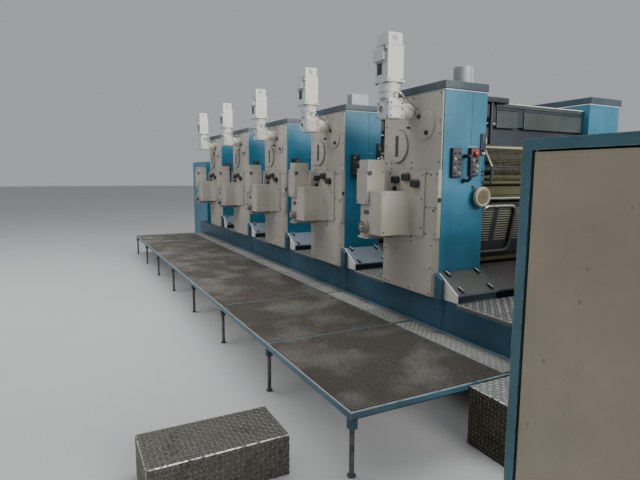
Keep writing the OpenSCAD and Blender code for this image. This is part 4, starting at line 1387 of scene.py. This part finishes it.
# %% [markdown]
# ## Gearmotors
# Each register drive is a worm gearbox with a motor standing on it. The covers are cast plates
# with a bolt in each corner, and the encoder on top has a small round lid.
# Its rating plate is a bare dark rectangle here.

# %% Gearmotor fittings
drives = Shape()
drive_bolts = []
for unit in unit_numbers:
    for low, high in ((1930, 2006), (2011, 2049)):
        drives.block((300, 307), (142, 268), (low, high), unit, edge=2)
    drive_bolts += [(at(299, out, height, unit), NEAR) for out, height in
        ((154, 1943), (256, 1943), (154, 1994), (256, 1994), (156, 2038), (256, 2038))]
    drive_bolts += [(at(back, 276, height, unit), OUT) for back, height in
        ((318, 1938), (444, 1938), (318, 2040), (444, 2040))]
    drive_bolts += [(at(back, out, 2188, unit), -UP) for back in (320, 470) for out in (149, 277)]
    drive_bolts += [(at(back, out, 2206.5, unit), UP) for back in (307.5, 483.5) for out in (160, 270)]
    drives.ring(at(405, 274, 1995, unit), OUT, 64, 12, finish=0, sides=28, wire_sides=8)
    drives.turned(at(332, 205, 2074, unit), UP, button(30, 16, 5), finish=0, sides=20)
    drives.turned(at(318, 222, 2508, unit), NEAR, button(46, 4, 1), finish=2, sides=24)
    drives.turned(at(330, 282, 2430, unit), OUT, collared(26, 18), finish=2, sides=18)
    drives.block((392, 454), (283, 285.2), (2250, 2335), unit, edge=0.5, finish=1)
    drives.block((313, 478), (141, 285), (2459, 2463), unit, edge=0, finish=2)
    for height in (2225, 2420):
        drives.block((392, 404), (130, 144), (height, height + 26), unit, edge=2, finish=3)
    for back in (330, 370):
        drives.rod(at(back, 288, 2438, unit), at(back, 288, 2462, unit), 14, edge=1, finish=2, sides=12)
drives.piece("gearmotor_fittings", [drive_cream_painted_shade, black_plastic, box_grey_painted_shade, zinc_steel], slot="motor_cream")
add_screws("gearmotor_bolts", drive_bolts, 13, 7, screw_steel)

# %% [markdown]
# ## Register gearboxes
# The smaller gearbox beside the roller housing ends in a round plug with a pale sealing ring.
# Two short oil pipes lead from its foot back into the frame: bent tubes, fixed at both ends.

# %% Register gearbox fittings
PLUG_AT = (595, 275, 1080)
RIB_OUTS = (281, 290, 299, 308)
register = Shape()
register_bolts = []
for unit in unit_numbers:
    register.turned(at(*PLUG_AT, unit), OUT, [(0, 0), (0, 49), (39, 49), (39, 0)], finish=2, sides=32)
    for out in RIB_OUTS:
        register.ring(at(PLUG_AT[0], out, PLUG_AT[2], unit), OUT, 99, 5, finish=0, sides=32)
    register.ring(at(PLUG_AT[0], 314, PLUG_AT[2], unit), OUT, 62, 6, finish=0)
    register.turned(at(PLUG_AT[0], 314, PLUG_AT[2], unit), OUT, button(30, 7), finish=0, sides=20)
    register.turned(at(545, 277, 1514, unit), NEAR, button(40, 10, 3), finish=2)
    register.block((548, 682), (240, 293.5), (984, 997), unit, edge=2, finish=1)
    for rise, out in ((0, 205), (26, 228)):
        points = [at(650, out - 20, 1190 + rise, unit), at(698, out - 20, 1190 + rise, unit),
            at(698, out - 20, 1050 - rise, unit), at(698, 20, 1050 - rise, unit)]
        register.add(tube(bent_path(points, 16), 15, oily_copper, sides=10), finish=3)
    register.block((550, 618), (273, 282), (1183, 1215), unit, edge=4, finish=2)
    register_bolts += [(at(back, 299, height, unit), OUT) for back, height in
        ((560, 1284), (688, 1284), (560, 1530), (688, 1530))]
    register_bolts += [(at(544, out, height, unit), NEAR) for out, height in
        ((150, 1290), (278, 1290), (150, 1525))]
    register_bolts += [(at(369, out, height, unit), NEAR) for out, height in
        ((70, 1050), (70, 1350), (255, 1050), (255, 1350))]
register.piece("register_fittings", [panel_beige, trim_cream, dark_grey, oily_copper], slot="panel_beige")
add_screws("register_bolts", register_bolts, 12, 6, screw_steel)

# %% [markdown]
# ## Trim lines and bay covers
# A pale trim runs under each cap. Between the units a hinged sheet covers the gears: it lifts off
# by four black latches, each with a bright lever. Bright angle guards the tread's nosing.

# %% Trims, latches and nosings
COVER_TOP = (0, 775)
COVER_FOOT = (-200, 645)
cover_slope = math.atan2(COVER_TOP[1] - COVER_FOOT[1], COVER_TOP[0] - COVER_FOOT[0])
slope_out = at(-math.sin(cover_slope), 0, math.cos(cover_slope)) - at(0, 0, 0)


def on_cover(back, out, proud, unit):
    """A point on a bay cover at a place back and out, proud of its face."""
    rise = COVER_TOP[1] + back * math.tan(cover_slope)
    return at(back, out, rise, unit) + slope_out * proud


trims = Shape()
posts = Shape()
for unit in unit_numbers:
    trims.block((-1.5, 721.5), (-411.5, 1.5), (2110, 2118), unit, edge=1)
    for back in (-42, -186):
        for out in (-66, -356):
            ends = [on_cover(back - 4, out - 11, -1, unit), on_cover(back - 4, out + 11, -1, unit),
                on_cover(back + 42, out + 11, -1, unit), on_cover(back + 42, out - 11, -1, unit)]
            trims.slab(ends, slope_out * 14, finish=1)
            lever_ends = [on_cover(back + 6, out - 3, 18, unit), on_cover(back + 38, out + 14, 20, unit)]
            knob_foot = on_cover(back + 24, out, 12, unit)
            trims.rod(*lever_ends, 7, finish=2, sides=8)
            trims.turned(knob_foot, slope_out.normalized(), button(18, 9), finish=1, sides=12)
    first = -720 if unit == 1 else -685
    # Painted shade: a dark panel closes the hollow under the bay cover, where there is only shade.
    trims.block((-190, -187), (-398, -18), (581, 632), unit, edge=0, finish=3)
    trims.block((first, -200), (-2, 1), (574, 582), unit, edge=1, finish=2)
    trims.block((first, first + 5), (-408, 0), (574, 582), unit, edge=1, finish=2)
    outline = [at(back, 0, height, unit) for back, height in ((1, 585), (1, 776), (-65, 734), (-65, 585))]
    posts.slab(outline, at(0, 38, 0) - at(0, 0, 0))
    # Painted shadow: a thin dark strip on the plinth at the post's far edge stands in for the shadow of the
    # step there.
    posts.block((-69, -62), (0, 2), (352, 585), unit, edge=1, finish=1)
trims.twin()
posts.twin()
posts.piece("plinth_posts", [plinth_blue, inner_blue], slot="plinth_blue")
trims.piece("trims_and_latches", [trim_white, black_plastic, bright_tube, inner_blue], slot="cover_grey")

near_cover = Shape()
outline = [on_cover(back, out, 0, 1) for back, out in ((-200, -412), (-200, -12), (-1, -12), (-1, -412))]
near_cover.slab(outline, slope_out * 2)
near_cover.twin()
near_cover.piece("near_bay_sheet", [cover_green], slot="cover_grey")

# %% [markdown]
# ## Cross beams
# Between the housings a beam carries the washing gear: a row of grey cover plates below
# a long box with a pale edge. The dark space under it is closed by a sheet.

# %% Beam covers
BEAM_START = -570
COVER_OUTS = ((-580, -812), (-884, -1600))
far_out = -press_width + housing_depth
beams = Shape()
for unit in unit_numbers:
    beams.block((58, 150), (BEAM_START, far_out + 4), (2030, 2062), unit, edge=3)
    beams.block((55, 60), (-700, far_out + 4), (2056, 2063), unit, edge=1, finish=1)
    for start, end in COVER_OUTS:
        beams.block((60, 72), (start, end), (1872, 2004), unit, edge=4)
        beams.block((64, 71), (start + 2, end - 2), (2008, 2030), unit, edge=1, finish=2)
    beams.block((96, 100), (-housing_depth, far_out), (1732, 1882), unit, edge=0, finish=2)
    beams.rod(at(44, -500, 1740, unit), at(44, -500, 2056, unit), 30, edge=2, finish=3)
    beams.rod(at(60, -416, 1899, unit), at(60, -560, 1899, unit), 14, edge=1, finish=4)
    beams.block((30, 66), (-470, -430), (1940, 2040), unit, edge=4, finish=3)
    beams.block((2, 10), (-housing_depth, far_out), (1350, 1398), unit, edge=1, finish=5)
    beams.block((4, 9), (-housing_depth, far_out), (1321, 1327), unit, edge=1, finish=1)
    beams.block((-2, 3), (-housing_depth - 2, far_out + 2), (1708.5, 1721.5), unit, edge=1, finish=6)
beams.piece("beam_covers", [beam_grey, trim_white, inner_blue, black_plastic, bright_tube, guard_olive,
    trim_cream], slot="plinth_blue")
print("beam covers:", len(COVER_OUTS) * len(units))

# %% [markdown]
# ## Control cabinet
# The cabinet stands by itself: a folded steel body with one inset door. Its back has louvres to let
# warm air out, and gear sits in rows on the mounting plate inside, seen when the door stands open.
# The handle and the lock ride on the door.

# %% Cabinet fittings
CABINET_BACK = (-2453, -1803)
CABINET_OUT = (780, 1280)
RAIL_HEIGHTS = (340, 620, 900, 1180, 1400)
GEAR_ROWS = [[(40, 70, 0), (58, 90, 1), (58, 90, 1), (36, 80, 2), (120, 60, 0)],
    [(90, 110, 1), (90, 110, 1), (60, 70, 2), (60, 70, 2), (44, 80, 0)],
    [(24, 60, 0), (24, 60, 0), (24, 60, 0), (24, 60, 0), (110, 95, 1), (70, 80, 2)],
    [(150, 120, 2), (46, 70, 0), (46, 70, 0), (70, 85, 1)],
    [(30, 50, 0), (30, 50, 0), (30, 50, 0), (30, 50, 0), (30, 50, 0), (90, 60, 2), (60, 60, 1)]]
door_face = -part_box("cabinet_door")[0].y / MM + side_y / MM
door_parts = Shape()
door_parts.block((-2404, -2380), (door_face - 2, door_face + 12), (770, 930), edge=4, segments=3)
door_parts.block((-2400, -2384), (door_face + 11, door_face + 17), (800, 900), edge=3, finish=1)
door_parts.turned(at(-2392, door_face + 11, 784), OUT, button(20, 6), finish=1, sides=20)
door_parts.piece("cabinet_door_handle", [black_plastic, zinc_steel], body="door", slot="black_plastic")

cabinet = Shape()
for i in range(12):
    for group in ((-2390, -2150), (-2106, -1866)):
        cabinet.block(group, (CABINET_OUT[0] - 5, CABINET_OUT[0] + 1), (1180 + i * 26, 1192 + i * 26), edge=2)
        cabinet.block(group, (CABINET_OUT[0] - 5, CABINET_OUT[0] + 1), (200 + i * 26, 212 + i * 26), edge=2)
cabinet.block((-2380, -1876), (CABINET_OUT[0] - 3, CABINET_OUT[0] + 1), (560, 1120), edge=2)
for back in (CABINET_BACK[0] + 60, CABINET_BACK[1] - 60):
    for out in (CABINET_OUT[0] + 60, CABINET_OUT[1] - 60):
        cabinet.turned(at(back, out, 1603), UP, button(26, 5), finish=1, sides=16)
gear_start = CABINET_BACK[0] + 90
gear_out = CABINET_OUT[0] + 44
for height, gear in zip(RAIL_HEIGHTS, GEAR_ROWS):
    rail_back = (gear_start - 15, CABINET_BACK[1] - 80)
    cabinet.block(rail_back, (gear_out - 1, gear_out + 8), (height - 17, height + 17),
        edge=1, finish=1)
    cabinet.block(rail_back, (gear_out - 1, gear_out + 55), (height + 70, height + 105),
        edge=2, finish=3)
    back = gear_start
    for width, tall, kind in gear:
        cabinet.block((back, back + width - 3), (gear_out, gear_out + 62 + 10 * kind),
            (height - tall / 2, height + tall / 2),
            edge=2, finish=2 + kind)
        cabinet.block((back + 3, back + width - 6), (gear_out + 60 + 10 * kind, gear_out + 67 + 10 * kind),
            (height - tall / 4, height + tall / 4), edge=1, finish=5)
        back += width
cabinet.piece("cabinet_fittings", [cabinet_blue, zinc_steel, cream_plastic, grey_plastic, dark_grey,
    black_plastic], slot="press_blue")

# %% [markdown]
# ## Pile boards
# Paper stands on boards of sawn planks on bearers, carried by two steel bars.
# One function makes both boards from their own sizes, so the planks share the width evenly.

# %% Pile boards
PILE_SIDE = 140
PILE_TOP = 260
PLANK_T = 22
BEARER_H = 38
CARRIER = 40
PLANK_W = 118


def pile_board(node, back, frame_in):
    """Planks side by side on three bearers, on two steel carriers between the frames."""
    out = (-press_width + frame_in + PILE_SIDE, -frame_in - PILE_SIDE)
    board = Shape()
    count = round((out[1] - out[0]) / PLANK_W)
    width = (out[1] - out[0]) / count
    for i in range(count):
        start = out[0] + i * width
        plank_height = (PILE_TOP - PLANK_T, PILE_TOP - (i % 3) * 0.6)
        board.block(back, (start + 4, start + width - 4), plank_height, edge=2)
    bearer_z = (PILE_TOP - PLANK_T - BEARER_H, PILE_TOP - PLANK_T)
    for place in (back[0] + 45, (back[0] + back[1]) / 2, back[1] - 45):
        board.block((place - 45, place + 45), (out[0] + 6, out[1] - 6), bearer_z, edge=2)
    for place in (back[0] + 120, back[1] - 160):
        board.block((place, place + CARRIER), (-press_width + frame_in, -frame_in),
            (bearer_z[0] - CARRIER, bearer_z[0]), edge=3, finish=1)
    board.piece(node + "_planks", [pile_wood, zinc_steel], slot="pile_wood", stands_for=[node])
    return count


planks = pile_board("delivery_pile_board", (-2840, -1740), 220)
planks += pile_board("feeder_pile_board", (7570, 8350), 310)
print("planks:", planks)

# %% [markdown]
# ## Delivery and feeder
# Both ends of the line carry paper: the delivery lets printed sheets down on its pile, and
# the feeder lifts blank ones on to a sloping table with tapes. Their side frames have cover panels,
# dark inspection windows and bow handles, and steel shafts run across between them.

# %% Covers, windows and handles of both ends
def bow_handle(shape, back, out, low, high, reach, finish):
    """An upright bow handle on a side frame."""
    corners = ((out - 2, high), (out + reach, high), (out + reach, low), (out - 2, low))
    points = [at(back, *corner) for corner in corners]
    shape.add(tube(bent_path(points, 20), 16, black_plastic, sides=10), finish=finish)


end_covers = Shape()
end_bolts = []
SIDE_COVERS = [(0, (-2790, -2310), (300, 1000)), (0, (-2290, -1480), (300, 1000)),
    (-310, (7300, 7800), (250, 880)),
    (-310, (7815, 8330), (250, 880)), (-310, (7300, 8330), (1480, 1700))]
SIDE_WINDOWS = [(0, (-2700, -2120), (1080, 1480)), (0, (-2060, -1480), (1080, 1480)),
    (-310, (7330, 7790), (940, 1420)),
    (-310, (7830, 8300), (940, 1420))]
for face, back, height in SIDE_COVERS:
    end_covers.block(back, (face - 1, face + 7), height, edge=3, finish=0)
    end_bolts += [(at(b, face + 8, z), OUT) for b in (back[0] + 22, back[1] - 22)
        for z in (height[0] + 22, height[1] - 22)]
    bow_handle(end_covers, back[1] - 60, face + 7, sum(height) / 2 - 55, sum(height) / 2 + 55, 34, 1)
for face, back, height in SIDE_WINDOWS:
    end_covers.block(back, (face - 1, face + 8), height, edge=3, finish=2)
    pane = ((back[0] + 26, back[1] - 26), (face + 7, face + 9), (height[0] + 26, height[1] - 26))
    end_covers.block(*pane, edge=1, finish=3)
    end_bolts += [(at(b, face + 9, z), OUT) for b in (back[0] + 12, back[1] - 12)
        for z in (height[0] + 12, height[1] - 12)]
end_covers.twin()
end_bolts += [(Vector((point.x, -point.y, point.z)), -facing) for point, facing in end_bolts]
end_covers.piece("end_covers", [panel_beige, black_plastic, trim_cream, smoked_window], slot="panel_beige")
add_screws("end_bolts", end_bolts, 14, 6, screw_steel)

# %% Shafts, tapes, wheels and suckers
ends = Shape()
DELIVERY_SHAFTS = ((-2600, 1300, 60), (-1640, 1380, 50), (-1500, 1180, 40),
    (-1180, 1060, 60), (-2700, 900, 30))
for back, height, d in DELIVERY_SHAFTS:
    ends.rod(at(back, -218, height), at(back, -press_width + 218, height), d, edge=2, finish=0, sides=28)
for back, height, d in ((7330, 900, 50), (7330, 1120, 60), (8250, 1420, 40)):
    ends.rod(at(back, -308, height), at(back, -press_width + 308, height), d, edge=2, finish=0, sides=28)
TABLE_LINE = ((6340, 960), (7490, 1330))
table_tilt = math.atan2(TABLE_LINE[1][1] - TABLE_LINE[0][1], TABLE_LINE[1][0] - TABLE_LINE[0][0])
TAPES = 8
TAPE_WIDTH = 34


def table_height(back):
    return TABLE_LINE[0][1] + (back - TABLE_LINE[0][0]) * math.tan(table_tilt)


tape_outs = row(-480, -press_width + 480, TAPES)
for out in tape_outs:
    corners = [at(back, out + side, table_height(back)) for back, side in (
        (6350, -TAPE_WIDTH / 2), (6350, TAPE_WIDTH / 2), (7480, TAPE_WIDTH / 2), (7480, -TAPE_WIDTH / 2))]
    ends.slab(corners, Vector((0, 0, 3 * MM)), finish=1)
for back in (6460, 6840, 7220):
    shaft = table_height(back) + 78
    ends.rod(at(back, -330, shaft), at(back, -press_width + 330, shaft), 20, edge=1, finish=0, sides=16)
    for out in tape_outs:
        ends.rod(at(back, out - 14, shaft), at(back, out + 14, shaft), 50, edge=3, finish=2, sides=24)
        ends.rod(at(back + 60, out, table_height(back + 60) + 32), at(back, out, shaft), 12,
            edge=1, finish=0, sides=10)
        ends.rod(at(back + 60, out - 12, table_height(back + 60) + 24), at(back + 60, out + 12,
            table_height(back + 60) + 24), 40, edge=3, finish=2, sides=20)
    for out in (-330, -press_width + 330):
        ends.rod(at(back, out, table_height(back) - 2), at(back, out, shaft + 14), 24,
            edge=1, finish=0, sides=12)
for out in row(-620, -press_width + 620, 6):
    for back in (7640, 7880):
        ends.rod(at(back, out, 1502), at(back, out, 1440), 22, edge=1, finish=0, sides=14)
        ends.turned(at(back, out, 1442), -UP, [(0, 0), (0, 9), (8, 16), (14, 11), (20, 17), (26, 12),
            (34, 20),
            (36, 20), (34, 8), (34, 0)], finish=2, sides=16)
ends.block((7600, 7920), (-700, -press_width + 700), (1708, 1722), edge=4, finish=3)
ends.piece("end_shafts", [pipe_steel, black_plastic, rubber, panel_beige], slot="zinc_steel")
print("tapes:", TAPES)

# %% [markdown]
# ## Delivery hood
# The hood over the delivery chains lifts in sections. Seams, hinges and two bars to lift it by
# break up its long smooth back.

# %% Hood seams and bars
HOOD_SLOPE = ((-760, 1240), (-1180, 1630))
hood = Shape()
hood_tilt = math.atan2(HOOD_SLOPE[1][1] - HOOD_SLOPE[0][1], HOOD_SLOPE[0][0] - HOOD_SLOPE[1][0])
for back in (-1300, -1850, -2400):
    hood.block((back - 3, back + 3), (-232, -press_width + 232), (1626, 1632), edge=1, finish=0)
    for out in (-420, -press_width + 420):
        hood.block((back - 34, back + 34), (out - 26, out + 26), (1628, 1638), edge=3, finish=1)
for out in (-700, -press_width + 700):
    corners = ((-860, -160, 1330), (-838, -160, 1392), (-838, 160, 1392), (-860, 160, 1330))
    points = [at(back, out + aside, height) for back, aside, height in corners]
    points = [point + Vector((0, 0, -0.005)) for point in points]
    hood.add(tube(bent_path(points, 24), 20, black_plastic, sides=10), finish=2)
hood.piece("hood_fittings", [inner_blue, zinc_steel, black_plastic], slot="panel_beige")
print("hood tilt in degrees:", round(math.degrees(hood_tilt), 1))

# %% [markdown]
# ## Inking rollers and cylinders
# Each bay shows the machine's inside: a stack of steel and rubber rollers between the housings.
# They are plain turned bars, listed one by one.

# %% Rollers in the bays
ROLLERS = [(128, 1640, 90, 0), (118, 1545, 100, 1), (126, 1440, 90, 0)]
rollers = Shape()
for unit in unit_numbers:
    for back, height, d, finish in ROLLERS:
        axle = [at(back, out, height, unit) for out in (-housing_depth + 1, far_out - 1)]
        rollers.rod(*axle, d, edge=2,
            finish=finish, sides=32)
rollers.piece("ink_rollers", [rubber, inked_steel], slot="zinc_steel")
print("rollers:", len(ROLLERS) * len(units))

# %% [markdown]
# ## The camera and the studio
# The photograph was taken from the near end, at eye level, close to the drive side.
# The camera's place and turn come from the corners of the units: a wide lens, pointing a little down.
# Soft area lights stand in for the hall's ceiling lamps and for a window behind the camera.

# %% Camera
CAMERA_FROM_CORNER = Vector((2.826, -2.468, 0))
EYE_HEIGHT = 1.5
HEADING = math.atan2(0.4602, -0.8878)
PITCH_DOWN = 0.1312
ROLL = 0.0053
FOCAL_PIXELS = 495.78
IMAGE_WIDTH = 640
SENSOR = 36.0

level = Vector((math.cos(HEADING), math.sin(HEADING), 0))
forward = level * math.cos(PITCH_DOWN) - Vector((0, 0, math.sin(PITCH_DOWN)))
side = forward.cross(Vector((0, 0, 1))).normalized()
upward = side.cross(forward)
right = side * math.cos(ROLL) + upward * math.sin(ROLL)
upright = upward * math.cos(ROLL) - side * math.sin(ROLL)
turn = Matrix((right, upright, -forward)).transposed()

camera_data = bpy.data.cameras.new("camera")
camera_data.sensor_width = SENSOR
camera_data.lens = FOCAL_PIXELS / IMAGE_WIDTH * SENSOR
camera = bpy.data.objects.new("camera", camera_data)
bpy.context.scene.collection.objects.link(camera)
eye = Vector((near_x, side_y, EYE_HEIGHT)) + CAMERA_FROM_CORNER
camera.matrix_world = Matrix.Translation(eye) @ turn.to_4x4()
bpy.context.scene.camera = camera
print("lens:", round(camera_data.lens, 2), "mm")


# %% Floor and lights
def area_light(name, place, target, size, power, colour=(1, 1, 1)):
    data = bpy.data.lights.new(name, "AREA")
    data.shape = "RECTANGLE"
    data.size, data.size_y = size
    data.energy = power
    data.color = colour
    light = bpy.data.objects.new(name, data)
    light.location = place
    light.rotation_euler = (Vector(target) - Vector(place)).to_track_quat("-Z", "Y").to_euler()
    bpy.context.scene.collection.objects.link(light)


def pale_floor():
    """A smooth pale studio floor, wide enough to run out of view."""
    finish = Finish("studio_floor", Roughness=0.75)
    tone = finish.noise(0.7, 2.0)
    finish.put("Base Color", finish.mix(tone, (0.46, 0.46, 0.455), (0.51, 0.51, 0.50)))
    work = bmesh.new()
    bmesh.ops.create_grid(work, x_segments=1, y_segments=1, size=60)
    mesh = bpy.data.meshes.new("floor")
    work.to_mesh(mesh)
    work.free()
    mesh.materials.append(finish.material)
    floor = bpy.data.objects.new("floor", mesh)
    bpy.context.scene.collection.objects.link(floor)


pale_floor()
area_light("window", (16.0, 2.5, 6.3), (0.0, 0.0, 1.2), (10.0, 5.0), 2080, (1.0, 0.99, 0.97))
area_light("ceiling", (0.6, -2.4, 6.6), (-1.6, -0.8, 0.3), (14.0, 4.0), 660, (0.96, 0.98, 1.0))
area_light("far_side", (-3.0, 9.0, 5.0), (-1.0, 0.0, 1.0), (9.0, 4.0), 300)
world = bpy.data.worlds.new("studio")
world.use_nodes = True
world.node_tree.nodes["Background"].inputs["Color"].default_value = (0.80, 0.83, 0.86, 1)
world.node_tree.nodes["Background"].inputs["Strength"].default_value = 0.48
bpy.context.scene.world = world

# %% [markdown]
